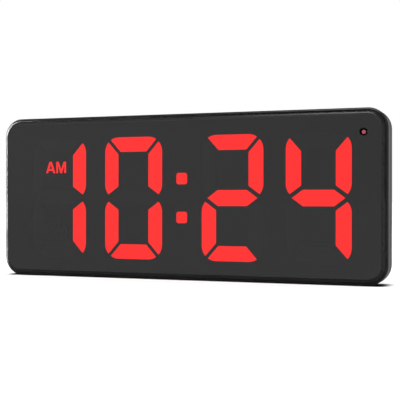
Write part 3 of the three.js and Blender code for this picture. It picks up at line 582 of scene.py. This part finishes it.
# Shader maths
class Wire:
    """A socket's output; plus, minus, times and power on it add Math nodes."""

    def __init__(self, finish, socket):
        self.finish = finish
        self.socket = socket

    def maths(self, operation, *values):
        return self.finish.node("ShaderNodeMath", {"operation": operation}, dict(enumerate(values)))

    def __add__(self, other):
        return self.maths("ADD", self, other)

    def __sub__(self, other):
        return self.maths("SUBTRACT", self, other)

    def __rsub__(self, other):
        return self.maths("SUBTRACT", other, self)

    def __mul__(self, other):
        return self.maths("MULTIPLY", self, other)

    def __pow__(self, other):
        return self.maths("POWER", self, other)

    __radd__ = __add__
    __rmul__ = __mul__

    def larger(self, other):
        return self.maths("MAXIMUM", self, other)

    def smaller(self, other):
        return self.maths("MINIMUM", self, other)

    def magnitude(self):
        """The value without its sign."""
        return self.maths("ABSOLUTE", self)

    def fade(self, start, end, low=0.0, high=1.0):
        """A smooth step from low to high as the value goes from start to end."""
        return self.finish.node(
            "ShaderNodeMapRange", {"interpolation_type": "SMOOTHSTEP"},
            {0: self, 1: start, 2: end, 3: low, 4: high},
        )


class Finish:
    """A node tree of a material or a world, filled through one method."""

    def __init__(self, owner):
        self.owner = owner
        owner.use_nodes = True
        self.tree = owner.node_tree
        self.tree.nodes.clear()

    def node(self, kind, settings=None, sockets=None, output=0):
        """Adds a node; each of the given sockets takes a wire or a plain value."""
        added = self.tree.nodes.new(kind)
        for name, value in (settings or {}).items():
            setattr(added, name, value)
        for name, value in (sockets or {}).items():
            if isinstance(value, Wire):
                self.tree.links.new(value.socket, added.inputs[name])
            else:
                added.inputs[name].default_value = value
        return Wire(self, added.outputs[output]) if len(added.outputs) else added

    def split(self, vector):
        """The X, Y and Z of a vector as three values."""
        parts = self.node("ShaderNodeSeparateXYZ", None, {0: vector})
        return [Wire(self, socket) for socket in parts.socket.node.outputs]

    def place(self):
        """The point in the frame, in metres."""
        return self.node("ShaderNodeTexCoord", None, None, "Object")

    def rays(self, *kinds):
        """For each kind of ray a value that is 1 for rays of that kind, else 0."""
        path = self.node("ShaderNodeLightPath").socket.node
        return [Wire(self, path.outputs[f"Is {kind} Ray"]) for kind in kinds]

    def noise(self, scale, detail=2):
        """A cloudy value; the scale counts its waves in a metre."""
        return self.node(
            "ShaderNodeTexNoise", None, {"Vector": self.place(), "Scale": scale, "Detail": detail},
        )

    def mix(self, share, first, second):
        """A colour between two colours."""
        return self.node("ShaderNodeMix", {"data_type": "RGBA"}, {0: share, 6: first, 7: second}, 2)

    def inside_outline(self, x, z):
        """How far a point lies inside the body's outline, by the corners' circles or the sides."""
        across = x.magnitude() - (BODY_WIDTH / 2 - CORNER_RADIUS)
        upward = (z - BODY_MIDDLE_Z).magnitude() - (BODY_HEIGHT / 2 - CORNER_RADIUS)
        outside = (across.larger(0) ** 2 + upward.larger(0) ** 2) ** 0.5
        return CORNER_RADIUS - outside - across.larger(upward).smaller(0)

    def bump(self, height, strength, distance):
        return self.node(
            "ShaderNodeBump", None, {"Height": height, "Strength": strength, "Distance": distance},
        )

    def surface(self, **sockets):
        """The Principled shader with its sockets' names written with underscores."""
        named = {name.replace("_", " "): value for name, value in sockets.items()}
        shader = self.node("ShaderNodeBsdfPrincipled", None, named)
        self.node("ShaderNodeOutputMaterial", None, {"Surface": shader})
        return self.owner


def finish_named(name):
    """An empty material to fill."""
    return Finish(bpy.data.materials.new(name))


def grey(level):
    """A colour with one level in all its channels."""
    return (level, level, level, 1)


# Finishes
def smoked_acrylic():
    """Polished smoked acrylic, faintly wiped. Its outside holds the tint; its inner faces are clear."""
    look = finish_named("smoked acrylic")
    x, y, z = look.split(look.place())
    wipe = look.noise(45, detail=3)
    inside = look.inside_outline(x, z).fade(COVER_INSET + SKIRT_WALL / 2, COVER_INSET + SKIRT_WALL)
    inside = inside * (y - FACE_Y).fade(*CLEAR_DEPTH)
    return look.surface(
        Base_Color=(0.0015, 0.0015, 0.0017, 1),
        Roughness=wipe.fade(0.35, 0.75, 0.035, 0.06),
        Specular_IOR_Level=0.96,
        Alpha=TINT - TINT * inside,
        IOR=1.49,
    )


def black_abs():
    """Injection-moulded ABS: a glossy rim, satin sides and a finely sparked, slightly greyer back. Inside
    the rim it is painted fully black, a painted shade of the groove between cover and housing.
    """
    look = finish_named("black ABS")
    x, y, z = look.split(look.place())
    back = look.inside_outline(x, z).fade(*BACK_INSET)
    rim = (y - FACE_Y).fade(*RIM_DEPTH) * (1 - back)
    # Painted shade: everything inside the rim, the groove between cover and housing, gets a fully black
    # colour.
    gap = look.inside_outline(x, z).fade(RIM_WIDTH - GAP_BLEND, RIM_WIDTH) * (1 - back)
    grain = look.noise(2600, detail=1)
    cloud = look.noise(30, detail=3).fade(*NOISE_SPREAD)
    smooth_side = look.mix(cloud, grey(0.0035), grey(0.005))
    sparked = look.mix(grain, grey(0.022), grey(0.036))
    outside = look.mix(back, smooth_side, sparked)
    rough = back * BACK_ROUGHER + cloud * CLOUD_ROUGHER + SIDE_ROUGHNESS
    return look.surface(
        Base_Color=look.mix(gap, outside, grey(0)),
        Roughness=rough - rim * RIM_POLISH + gap * GAP_ROUGHER,
        Normal=look.bump(grain * back, strength=0.6, distance=0.06 * MM),
        IOR=1.5,
    )


def lit_diffuser():
    """Red diffuser that glows on its front, evenly but for a faint mottling, and is dark down its sides."""
    look = finish_named("lit red diffuser")
    x, y, z = look.split(look.place())
    mottle = look.noise(70, detail=1).fade(*NOISE_SPREAD)
    front = (y - BAR_FRONT).fade(GLOW_DEPTH, 2 * GLOW_DEPTH)
    glow = look.mix(mottle, (0.96, 0.0, 0.0, 1), (1.0, 0.002, 0.0, 1))
    return look.surface(
        Base_Color=look.mix(front, (0.6, 0.01, 0.008, 1), (0.01, 0.001, 0.001, 1)),
        Roughness=0.45,
        Specular_IOR_Level=0.2,
        Emission_Color=look.mix(front, glow, (0, 0, 0, 1)),
        Emission_Strength=2.0,
    )


def unlit_diffuser():
    """Dark tinted diffuser with a faint haze."""
    look = finish_named("unlit diffuser")
    haze = look.noise(400)
    return look.surface(
        Base_Color=look.mix(haze, (0.002, 0.0015, 0.0015, 1), (0.0035, 0.0025, 0.0025, 1)),
        Roughness=haze.fade(*NOISE_SPREAD, 0.5, 0.7),
        Specular_IOR_Level=0.1,
    )


def reflector_black():
    """Matte moulding with a fine grain."""
    look = finish_named("reflector black")
    grain = look.noise(1800)
    return look.surface(
        Base_Color=look.mix(grain, grey(0.001), grey(0.002)),
        Roughness=grain.fade(*NOISE_SPREAD, 0.7, 0.9),
        Specular_IOR_Level=0.05,
        Normal=look.bump(grain, strength=0.3, distance=0.05 * MM),
    )


def sensor_resin(centre):
    """Pinkish red resin, darker over the chip in its middle."""
    look = finish_named("sensor resin")
    x, y, z = look.split(look.place())
    radius = ((x - centre[0]) ** 2 + (z - centre[1]) ** 2) ** 0.5
    colour = look.mix(radius.fade(*CHIP_SHADE), (0.3, 0.015, 0.04, 1), (0.8, 0.19, 0.28, 1))
    return look.surface(
        Base_Color=colour,
        Roughness=radius.fade(*DOME_SHEEN, 0.12, 0.2),
        Specular_IOR_Level=0.4,
    )


def soft_rubber(name, level, gloss=0.4):
    """Matte rubber of one grey level with a fine grain."""
    look = finish_named(name)
    grain = look.noise(2200)
    return look.surface(
        Base_Color=look.mix(grain, grey(level * 0.8), grey(level * 1.3)),
        Roughness=grain.fade(*NOISE_SPREAD, 0.62, 0.8),
        Specular_IOR_Level=gloss,
        Normal=look.bump(grain, strength=0.35, distance=0.04 * MM),
    )


def solder_mask():
    """Green lacquer over copper tracks that run across the board."""
    look = finish_named("solder mask")
    tracks = look.node(
        "ShaderNodeTexWave", {"wave_type": "BANDS", "bands_direction": "DIAGONAL"},
        {"Vector": look.place(), "Scale": 160, "Distortion": 9, "Detail": 1, "Detail Scale": 0.6},
        "Fac",
    )
    copper = tracks.fade(0.55, 0.65)
    return look.surface(
        Base_Color=look.mix(copper, (0.006, 0.045, 0.02, 1), (0.02, 0.1, 0.04, 1)),
        Roughness=look.noise(300).fade(*NOISE_SPREAD, 0.25, 0.4),
        Normal=look.bump(copper, strength=0.3, distance=0.03 * MM),
    )


def moulding_compound():
    """Matte black moulding with a fine grain, as on chips and sockets."""
    look = finish_named("moulding compound")
    grain = look.noise(3000)
    return look.surface(
        Base_Color=look.mix(grain, grey(0.008), grey(0.015)),
        Roughness=grain.fade(*NOISE_SPREAD, 0.5, 0.7),
        Normal=look.bump(grain, strength=0.3, distance=0.03 * MM),
    )


def brushed(name, colour, roughness):
    """Metal with fine streaks: noise stretched along X."""
    look = finish_named(name)
    stretched = look.node("ShaderNodeMapping", None, {"Vector": look.place(), "Scale": (0.04, 1, 1)})
    streaks = look.node("ShaderNodeTexNoise", None, {"Vector": stretched, "Scale": 1500, "Detail": 2})
    darker = tuple(channel * 0.8 for channel in colour[:3]) + (1,)
    return look.surface(
        Base_Color=look.mix(streaks, darker, colour),
        Metallic=1.0,
        Roughness=streaks.fade(*NOISE_SPREAD, roughness * 0.8, roughness * 1.2),
    )


def printed_ink():
    """Matte grey ink, finely speckled."""
    look = finish_named("printed ink")
    speckle = look.noise(2500)
    return look.surface(
        Base_Color=look.mix(speckle.fade(0.3, 0.6), grey(0.25), grey(0.33)),
        Roughness=0.6,
    )


def label_film():
    """Satin grey film with a faint paper-like mottle."""
    look = finish_named("label film")
    mottle = look.noise(900, detail=3)
    return look.surface(
        Base_Color=look.mix(mottle, grey(0.16), grey(0.2)),
        Roughness=mottle.fade(*NOISE_SPREAD, 0.4, 0.5),
    )


# Front
def node_centre(node):
    """X and Z of the middle of a CAD node's box."""
    low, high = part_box(node)
    return np.array([(low.x + high.x) / 2, (low.z + high.z) / 2])


def smoked_cover():
    """The cover's cross-section carried round the body: hole, face, rounded edge, skirt and inside."""
    centre = node_centre("light_sensor")
    inner_y = FACE_Y + COVER_THICKNESS
    skirt_inset = COVER_INSET + SKIRT_WALL
    flat_edge = COVER_INSET + COVER_ROUND + HOLD
    stations = side_stations(body_corners(flat_edge), centre)
    ring = body_ring(flat_edge, FACE_Y, stations)[:, [0, 2]]
    away = ring - centre
    direction = away / np.linalg.norm(away, axis=-1, keepdims=True)

    def hole_ring(grow, y):
        return at_depth(centre + direction * (SENSOR_HOLE_RADIUS + grow), y)

    angle = np.linspace(0, np.pi / 2, SENSOR_HOLE_STEPS + 1)
    grown = SENSOR_HOLE_ROUND * (1 - np.cos(angle))
    hole_depth = SENSOR_HOLE_ROUND * (1 - np.sin(angle))
    hole_edge = [hole_ring(grow, FACE_Y + depth) for grow, depth in zip(grown, hole_depth)]
    profile = [
        (flat_edge, FACE_Y),
        *quarter_round(COVER_INSET, FACE_Y, COVER_ROUND, 1),
        (COVER_INSET, FACE_Y + COVER_DEPTH),
        (skirt_inset, FACE_Y + COVER_DEPTH),
        *reversed(quarter_round(skirt_inset, inner_y, COVER_INNER_ROUND, 1)),
        (skirt_inset + COVER_INNER_ROUND + HOLD, inner_y),
    ]
    rows = [
        hole_ring(0, inner_y),
        *hole_edge,
        hole_ring(SENSOR_HOLE_ROUND + HOLD, FACE_Y),
        *[body_ring(inwards, y, stations) for inwards, y in profile],
        hole_ring(HOLD, inner_y),
    ]
    mesh = carried("smoked_cover", rows)
    return made("smoked_cover", mesh, smoked_acrylic(), node="front_cover", slot="smoked_cover")


def digit_middle(digit):
    """A digit's middle, halfway between its two side bars and on its middle bar."""
    return node_centre(f"digit_{digit}_segment_g")


def diffusers(lit, unlit):
    """Every bar of the four digits, with smooth outer corners and a lightly rounded front edge."""
    for digit, lit_letters in enumerate(LIT_SEGMENTS, 1):
        for letter in SEGMENTS:
            node = f"digit_{digit}_segment_{letter}"
            name = f"bar_{digit}_{letter}"
            outline = segment_outline(letter) + digit_middle(digit)
            glows = letter in lit_letters
            made(
                name, slab(name, outline, BAR_FRONT, BAR_BACK), lit if glows else unlit,
                node=node, slot="lit_segment" if glows else "unlit_segment",
            )


def colon_dots(lit):
    """Two glowing squares with rounded corners."""
    for level in ("upper", "lower"):
        node = f"colon_dot_{level}"
        low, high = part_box(node)
        x, z = node_centre(node)
        outline = rounded_rectangle(x, z, high.x - low.x, high.z - low.z, DOT_RADIUS, DOT_STEPS)
        name = f"colon_{level}"
        made(name, slab(name, outline, low.y, high.y), lit, node=node, slot="lit_segment")


def letter_a(left, low):
    """Two slanted legs that meet in a flat top, and the bar between them."""
    middle = left + LETTER_A_WIDTH / 2
    foot = LETTER_STROKE * LETTER_A_FOOT
    right = left + LETTER_A_WIDTH
    crotch = low + LETTER_HEIGHT * LETTER_A_CROTCH
    legs = np.array([
        (left, low), (left + foot, low), (middle, crotch), (right - foot, low), (right, low),
        (middle + LETTER_TOP / 2, low + LETTER_HEIGHT), (middle - LETTER_TOP / 2, low + LETTER_HEIGHT),
    ])
    slope = (crotch - low) / (middle - left - foot)

    def inner(z):
        """X of the left leg's inner side at a height."""
        return (z - low) / slope + left + foot

    low_edge, high_edge = low + LETTER_BAR_LOW, low + LETTER_BAR_HIGH
    bar = np.array([
        (inner(low_edge), low_edge), (2 * middle - inner(low_edge), low_edge),
        (2 * middle - inner(high_edge), high_edge), (inner(high_edge), high_edge),
    ])
    return [legs, bar]


def letter_m(left, low):
    """Two upright strokes with a V between them."""
    right = left + LETTER_M_WIDTH
    middle = (left + right) / 2
    top = low + LETTER_HEIGHT
    notch = top - LETTER_HEIGHT * LETTER_M_NOTCH
    valley = low + LETTER_HEIGHT * LETTER_M_VALLEY
    shoulder = LETTER_STROKE * LETTER_M_SHOULDER
    outline = np.array([
        (left, low), (left + LETTER_STROKE, low), (left + LETTER_STROKE, notch),
        (middle - LETTER_POINT / 2, low), (middle + LETTER_POINT / 2, low),
        (right - LETTER_STROKE, notch), (right - LETTER_STROKE, low), (right, low), (right, top),
        (right - shoulder, top), (middle, valley), (left + shoulder, top), (left, top),
    ])
    return [outline]


def am_indicator(lit, black):
    """A black mask with the two letters glowing through it."""
    node = "am_indicator"
    low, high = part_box(node)
    x, z = node_centre(node)
    outline = rounded_rectangle(x, z, high.x - low.x, high.z - low.z, MASK_RADIUS, MASK_STEPS)
    mask_front = low.y + LETTER_RELIEF
    made("am_mask", slab("am_mask", outline, mask_front, high.y), black, node=node, slot="reflector")
    text_width = LETTER_A_WIDTH + LETTER_GAP + LETTER_M_WIDTH
    left = x - text_width / 2 - LETTER_SHIFT
    base = z - LETTER_HEIGHT / 2 + LETTER_RAISE
    shapes = [*letter_a(left, base), *letter_m(left + LETTER_A_WIDTH + LETTER_GAP, base)]
    for count, shape in enumerate(shapes, 1):
        name = f"am_stroke_{count}"
        made(
            name, slab(name, shape, low.y, mask_front + LETTER_RELIEF, LETTER_RELIEF / 2), lit,
            node=node, slot="lit_segment",
        )


def light_sensor():
    """A resin dome on a cylinder, in a black rubber sleeve with a neck that fills the cover's hole. The
    sleeve's rubber has almost no gloss, a painted shade of the recess round the dome.
    """
    low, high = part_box("light_sensor")
    centre = node_centre("light_sensor")
    angle = np.linspace(0, np.pi / 2, SENSOR_STEPS + 1)
    dome = list(zip(SENSOR_RADIUS * np.sin(angle), low.y + SENSOR_RADIUS * (1 - np.cos(angle))))
    made(
        "sensor_dome", turned("sensor_dome", centre, [*dome, (SENSOR_RADIUS, high.y), (0, high.y)]),
        sensor_resin(centre), node="light_sensor", slot="sensor_lens",
    )
    sleeve_low, sleeve_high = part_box("sensor_sleeve")
    outer = (sleeve_high.x - sleeve_low.x) / 2
    inner = SENSOR_RADIUS + SLEEVE_CLEARANCE
    neck = SENSOR_HOLE_RADIUS - SLEEVE_PLAY
    front = FACE_Y + SENSOR_HOLE_ROUND
    profile = [
        (inner, sleeve_high.y), (inner, front + SLEEVE_LIP), (inner + SLEEVE_LIP, front),
        (neck - SLEEVE_LIP, front), (neck, front + SLEEVE_LIP), (neck, sleeve_low.y),
        (outer, sleeve_low.y), (outer, sleeve_high.y),
    ]
    rings = [at_depth(circle(*centre, radius), y) for radius, y in profile]
    # Painted shade: black rubber whose gloss is nearly removed, so the ring round the dome stays as dark as
    # a deep recess.
    made(
        "sensor_collar", carried("sensor_collar", rings), soft_rubber("sleeve rubber", 0.001, 0.03),
        node="sensor_sleeve", slot="sleeve_rubber",
    )


# Back
def button_profile(low, high):
    """Radius and Y place along a button: stem, flange, and a cap with a rounded rim and a low crown."""
    flange_back = BACK_Y - BUTTON_SEAT
    flange_front = flange_back - BUTTON_FLANGE_HEIGHT
    flange_radius = (high.x - low.x) / 2
    angle = np.linspace(0, np.pi / 2, BUTTON_STEPS + 1)
    rim_y = high.y - BUTTON_CROWN - BUTTON_ROUND
    rim = list(zip(
        BUTTON_CAP_RADIUS - BUTTON_ROUND * (1 - np.cos(angle)),
        rim_y + BUTTON_ROUND * np.sin(angle),
    ))
    share = np.linspace(CROWN_START, 0, BUTTON_STEPS + 1)
    crown_radius = (BUTTON_CAP_RADIUS - BUTTON_ROUND) * share
    crown = list(zip(crown_radius, high.y - BUTTON_CROWN * share ** 2))
    return [
        (0, low.y), (BUTTON_STEM_RADIUS, low.y), (BUTTON_STEM_RADIUS, flange_front),
        (flange_radius, flange_front), (flange_radius, flange_back), (BUTTON_CAP_RADIUS, flange_back),
        *rim, *crown,
    ]


def back_buttons():
    """The four rubber buttons, each on its own body."""
    rubber = soft_rubber("button rubber", 0.012)
    for name in BUTTON_NAMES:
        node = f"button_{name}"
        mesh = turned(f"{name}_cap", node_centre(node), button_profile(*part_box(node)))
        made(f"{name}_cap", mesh, rubber, f"{name}_button", node, "button_rubber")


def ring_mark(name, centre, radius, outer_y, root_y):
    """A flat ring: a rectangle of one stroke's width turned about a Y axis."""
    inner = radius - SYMBOL_STROKE
    section = [(radius, root_y), (radius, outer_y), (inner, outer_y), (inner, root_y)]
    return carried(name, [at_depth(circle(*centre, reach, MARK_SIDES), y) for reach, y in section])


def arrow(centre, size, level):
    """A triangle that points up for level 1 and down for level -1."""
    corners = [(-ARROW_REACH, -ARROW_FOOT), (ARROW_REACH, -ARROW_FOOT), (0, ARROW_REACH)]
    return np.array(corners) * size * level + centre


def bell(centre):
    """A half circle over a short straight flare; the heights are shares of the circle's radius."""
    x, z = centre
    dome = arc(x, z + BELL_DOME * BELL_CENTRE, BELL_DOME, 0, 180, BELL_STEPS)
    waist, foot = z - BELL_DOME * BELL_WAIST, z - BELL_DOME * BELL_FOOT
    flare = [(x - BELL_NECK, waist), (x - BELL_LIP, foot), (x + BELL_LIP, foot), (x + BELL_NECK, waist)]
    return np.concatenate([dome, np.array(flare)])


def clock_hands(centre):
    """Two strokes of one width that meet at the centre, one upright and one to the side."""
    x, z = centre
    half = SYMBOL_STROKE / 2
    reach = SYMBOL_RADIUS * HAND_REACH
    return np.array([
        (x - half, z - half), (x + reach, z - half), (x + reach, z + half),
        (x + half, z + half), (x + half, z + reach), (x - half, z + reach),
    ])


def symbol_depths(node):
    """Y places of a symbol's outside and of its root inside the cap."""
    cap_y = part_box(node)[1].y
    return cap_y + SYMBOL_RELIEF, cap_y - SYMBOL_ROOT


def button_symbols():
    """Low printed symbols on the caps: a clock, a bell, an arrow up and an arrow down."""
    ink = printed_ink()
    outlines = {
        "set": clock_hands,
        "alarm": bell,
        "up": lambda centre: arrow(centre, ARROW_SIZE, 1),
        "down": lambda centre: arrow(centre, ARROW_SIZE, -1),
    }
    for name, outline in outlines.items():
        node = f"button_{name}"
        title = f"{name}_symbol"
        mesh = slab(title, outline(node_centre(node)), *symbol_depths(node), SYMBOL_ROUND)
        made(title, mesh, ink, f"{name}_button", node, "button_rubber")
    centre = node_centre("button_set")
    ring = ring_mark("set_ring", centre, SYMBOL_RADIUS, *symbol_depths("button_set"))
    made("set_ring", ring, ink, "set_button", "button_set", "button_rubber")


def door_marks():
    """A pointer on the battery door, and a disc for closed and a ring for open beside it."""
    ink = printed_ink()
    outer_y, root_y = BACK_Y + INK_RELIEF, BACK_Y - INK_ROOT
    middle = node_centre("battery_door")
    pointer = arrow(middle + np.array([0, DOOR_POINTER_DISTANCE]), DOOR_POINTER_SIZE, 1)
    made(
        "door_pointer", slab("door_pointer", pointer, outer_y, root_y, INK_ROUND), ink,
        "battery_hatch", "battery_door", "housing",
    )
    disc = circle(*(middle + np.array([0, MARK_DISTANCE])), MARK_RADIUS, MARK_SIDES)
    made("closed_mark", slab("closed_mark", disc, outer_y, root_y, INK_ROUND), ink, slot="housing")
    place = middle + MARK_DISTANCE * np.array([math.sin(DOOR_TURN), math.cos(DOOR_TURN)])
    ring = ring_mark("open_mark", place, MARK_RADIUS, outer_y, root_y)
    made("open_mark", ring, ink, slot="housing")


def blank_label():
    """A blank film in the label's shallow recess."""
    outline = rounded_rectangle(*LABEL_CENTRE, LABEL_WIDTH, LABEL_HEIGHT, LABEL_RADIUS, PLATE_STEPS)
    bed = BACK_Y - LABEL_BED
    mesh = slab("blank_label", outline, bed + LABEL_THICKNESS, bed - INK_ROOT, LABEL_ROUND)
    made("blank_label", mesh, label_film(), slot="housing")


def stand_details():
    """A rubber pad along the leg's foot and grip ribs above it."""
    low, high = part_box("stand_leg")
    root_y = high.y - INK_ROOT
    pad_radius, rib_radius = PAD_HEIGHT * END_RADIUS_SHARE, RIB_HEIGHT * END_RADIUS_SHARE
    pad_z = low.z + PAD_FROM_FOOT
    outline = rounded_rectangle(0, pad_z, PAD_WIDTH, PAD_HEIGHT, pad_radius, PLATE_STEPS)
    mesh = slab("stand_pad", outline, high.y + PAD_RELIEF, root_y, PAD_RELIEF / 2)
    made("stand_pad", mesh, soft_rubber("pad rubber", 0.01), "stand", "stand_leg", "button_rubber")
    plastic = black_abs()
    for count in range(RIB_COUNT):
        name = f"grip_rib_{count + 1}"
        z = low.z + RIB_FROM_FOOT + count * RIB_PITCH
        outline = rounded_rectangle(0, z, RIB_WIDTH, RIB_HEIGHT, rib_radius, RIB_STEPS)
        mesh = slab(name, outline, high.y + RIB_RELIEF, root_y, RIB_RELIEF / 2)
        made(name, mesh, plastic, "stand", "stand_leg", "housing")


def housing():
    """The CAD housing with finer corners and rounded edges."""
    return refined(
        "housing_shell", "rear_cover", rounder=round_corners, finish=black_abs(), slot="housing",
    )


def other_pieces():
    """The CAD stand leg, battery door and socket with rounded edges."""
    plastic = black_abs()
    compound = moulding_compound()
    refined("stand_flap", "stand_leg", STAND_ROUND, finish=plastic, body="stand", slot="housing")
    refined("battery_lid", "battery_door", LID_ROUND, finish=plastic, body="battery_hatch", slot="housing")
    refined("power_socket", "dc_jack", LID_ROUND, finish=compound, slot="component_plastic")


def carried_nodes():
    """Finishes of the CAD nodes whose shape is right as it is."""
    compound = moulding_compound()
    zinc = brushed("black zinc", (0.05, 0.05, 0.055, 1), 0.35)
    brass = brushed("spring brass", (0.62, 0.5, 0.24, 1), 0.3)
    nickel = brushed("nickel plate", (0.6, 0.6, 0.62, 1), 0.28)
    finishes = {
        "display_frame": reflector_black(),
        "main_board": solder_mask(),
        "microcontroller": compound,
        "alarm_buzzer": compound,
        "timekeeping_crystal": nickel,
        "coin_cell": nickel,
        "stand_hinge_pin": nickel,
        "battery_contact_minus": brass,
        "battery_contact_plus": brass,
        "pm_indicator": unlit_diffuser(),
    }
    finishes.update({f"tact_switch_{name}": compound for name in BUTTON_NAMES})
    finishes.update({f"rear_screw_{count}": zinc for count in range(1, SCREW_COUNT + 1)})
    for node, finish in finishes.items():
        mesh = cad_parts[node].data
        mesh.materials.clear()
        mesh.materials.append(finish)


# Studio
def mirrored_floor(x, y):
    """Painted reflection levels, how bright mirrors see the floor: white ahead, dimmer past the right end
    and behind the clock, and a bright strip beside its left end, between two slanted lines."""
    beside = x.fade(*BESIDE_START) * x.fade(*BESIDE_FAR, BESIDE_FAR_SHARE, 1.0)
    beside = beside * (y - x * BESIDE_FRONT_SLOPE).fade(*BESIDE_FRONT)
    beside = beside * (y + x * BESIDE_BACK_SLOPE).fade(*BESIDE_BACK)
    back_share = y.fade(*BEHIND_START)
    ahead = y.fade(*NEAR_FRONT, NEAR_SHADE, 1.0) * x.fade(*PAST_RIGHT, AHEAD_LEVEL, PAST_RIGHT_LEVEL)
    behind = back_share * BEHIND_LEVEL * BEHIND_FLOOR
    return ahead * (1 - back_share) + behind + beside * BESIDE_LEVEL


def floor():
    """A white floor with the key's shadow and a painted contact shadow, darker where occlusion is high and
    under the clock's footprint. The camera sees it lifted a little towards white, and mirrors see levels of
    their own."""
    half = FLOOR_SIZE / 2
    corners = np.array([(-half, -half, 0), (half, -half, 0), (half, half, 0), (-half, half, 0)])
    mesh = mesh_of("floor", corners, [range(4)])
    look = finish_named("floor white")
    x, y, z = look.split(look.place())
    seen, glossy, passing = look.rays("Camera", "Glossy", "Transmission")
    open_share = look.node("ShaderNodeAmbientOcclusion", None, {"Distance": CONTACT_REACH}, "AO")
    # Painted shadow: occlusion and a box under the clock's footprint darken the floor's colour.
    under = y.magnitude().fade(*FOOT_DEPTH) * x.fade(*FOOT_LEFT) * x.fade(*FOOT_RIGHT)
    contact = open_share.fade(*CONTACT_SHARE) * (1 - under * FOOT_SHADE)
    colour = look.mix(contact, grey(PAINTED_SHADOW_GREY), grey(FLOOR_WHITE))
    shade = look.node("ShaderNodeBsdfDiffuse", None, {"Color": colour})
    lift = look.node("ShaderNodeEmission", None, {"Strength": contact * seen * FLOOR_LIFT})
    lit = look.node("ShaderNodeAddShader", None, {0: shade, 1: lift})
    # Painted reflection: for mirrors the floor glows at these painted levels, dimmed by occlusion near the
    # clock.
    painted_reflection = look.node("ShaderNodeEmission", None, {"Strength": open_share * mirrored_floor(x, y)})
    both = look.node("ShaderNodeMixShader", None, {0: glossy.larger(passing), 1: lit, 2: painted_reflection})
    look.node("ShaderNodeOutputMaterial", None, {"Surface": both})
    piece = bpy.data.objects.new("floor", mesh)
    bpy.context.scene.collection.objects.link(piece)
    mesh.materials.append(look.owner)


def mirrored_room(x, y, z):
    """How bright mirrors see a direction: the room in front, which dims to its sides and upwards, the
    dim room behind and a soft box overhead."""
    front = y.fade(*FRONT_TURN)
    sides = x.fade(*LEFT_TURN, LEFT_LEVEL, FRONT_LEVEL) * x.fade(*RIGHT_TURN, 1.0, RIGHT_SHARE)
    sides = sides * x.fade(*FAR_LEFT_TURN, 1.0, FAR_LEFT_SHARE)
    room = sides * z.fade(*UPPER_RISE, 1.0, UPPER_SHARE)
    behind = x.fade(*BEHIND_TURN, BEHIND_DARK, BEHIND_LEVEL)
    behind = behind * x.fade(*BEHIND_SIDE_TURN, 1.0, BEHIND_SIDE_SHARE)
    box = z.fade(*BOX_BOTTOM) * z.fade(*BOX_TOP) * x.fade(*BOX_LEFT) * x.fade(*BOX_RIGHT)
    box = box * y.fade(*BOX_FRONT)
    return front * room + (1 - front) * behind + box * BOX_LEVEL


def studio_world():
    """White to the camera, an even light to matte surfaces, and a room to mirrors."""
    world = bpy.data.worlds.new("studio")
    bpy.context.scene.world = world
    look = Finish(world)
    x, y, z = look.split(look.node("ShaderNodeTexCoord", None, None, "Generated"))
    seen, diffuse = look.rays("Camera", "Diffuse")
    unseen = diffuse * AMBIENT + (1 - diffuse) * mirrored_room(x, y, z)
    level = seen + (1 - seen) * unseen
    background = look.node("ShaderNodeBackground", None, {"Color": grey(1), "Strength": level})
    look.node("ShaderNodeOutputWorld", None, {"Surface": background})


def lamp(name, kind, power, place, aim, **settings):
    """A lamp that faces a point."""
    light = bpy.data.lights.new(name, kind)
    light.energy = power
    for setting, value in settings.items():
        setattr(light, setting, value)
    holder = bpy.data.objects.new(name, light)
    bpy.context.scene.collection.objects.link(holder)
    holder.location = place
    holder.rotation_euler = (Vector(aim) - Vector(place)).to_track_quat("-Z", "Y").to_euler()
    return holder


def edge_box(name, piece, power, place, aim, width, height):
    """An upright soft box that only one piece sees."""
    box = lamp(name, "AREA", power, place, aim, shape="RECTANGLE", size=width, size_y=height)
    receivers = bpy.data.collections.new(f"{name} receivers")
    receivers.objects.link(piece)
    box.light_linking.receiver_collection = receivers


def lights(shell, cover):
    """A soft key from the front and above, boxes that light the left edges, and a box behind."""
    key = lamp("key", "SUN", power=2.4, place=(-0.25, -0.6, 1.3), aim=CLOCK_AIM, angle=KEY_ANGLE)
    key.visible_glossy = False
    edge_box("rim_box", shell, power=16, place=(-1.234, -0.248, 0.12), aim=RIM_AIM, width=2, height=0.28)
    edge_box("cover_box", cover, power=17, place=(-1.2, 0.2, 0.37), aim=COVER_AIM, width=0.7, height=0.84)
    edge_box("corner_box", cover, power=23, place=(-1.18, 0.7, 0.7), aim=CORNER_AIM, width=0.5, height=0.95)
    edge_box("upper_box", cover, power=2.2, place=(-0.85, 0.95, 1.2), aim=CORNER_AIM, width=0.9, height=0.6)
    behind = lamp("back_box", "AREA", power=24, place=(0.25, 0.9, 1.7), aim=CLOCK_AIM, shape="DISK", size=1)
    behind.visible_glossy = False


def camera():
    """The photograph's camera, as fitted to the outline and to the lit bars."""
    lens = bpy.data.cameras.new("camera")
    lens.lens = CAMERA_LENS
    holder = bpy.data.objects.new("camera", lens)
    bpy.context.scene.collection.objects.link(holder)
    holder.location = CAMERA_PLACE
    holder.rotation_euler = (math.pi / 2, CAMERA_ROLL, CAMERA_TURN)
    bpy.context.scene.camera = holder


# The clock
camera()
lit_red = lit_diffuser()
unlit_red = unlit_diffuser()
cover = smoked_cover()
diffusers(lit_red, unlit_red)
colon_dots(lit_red)
am_indicator(lit_red, reflector_black())
light_sensor()
shell = housing()
other_pieces()
back_buttons()
button_symbols()
door_marks()
blank_label()
stand_details()
carried_nodes()
floor()
studio_world()
lights(shell, cover)
bpy.context.scene.view_settings.view_transform = "Standard"
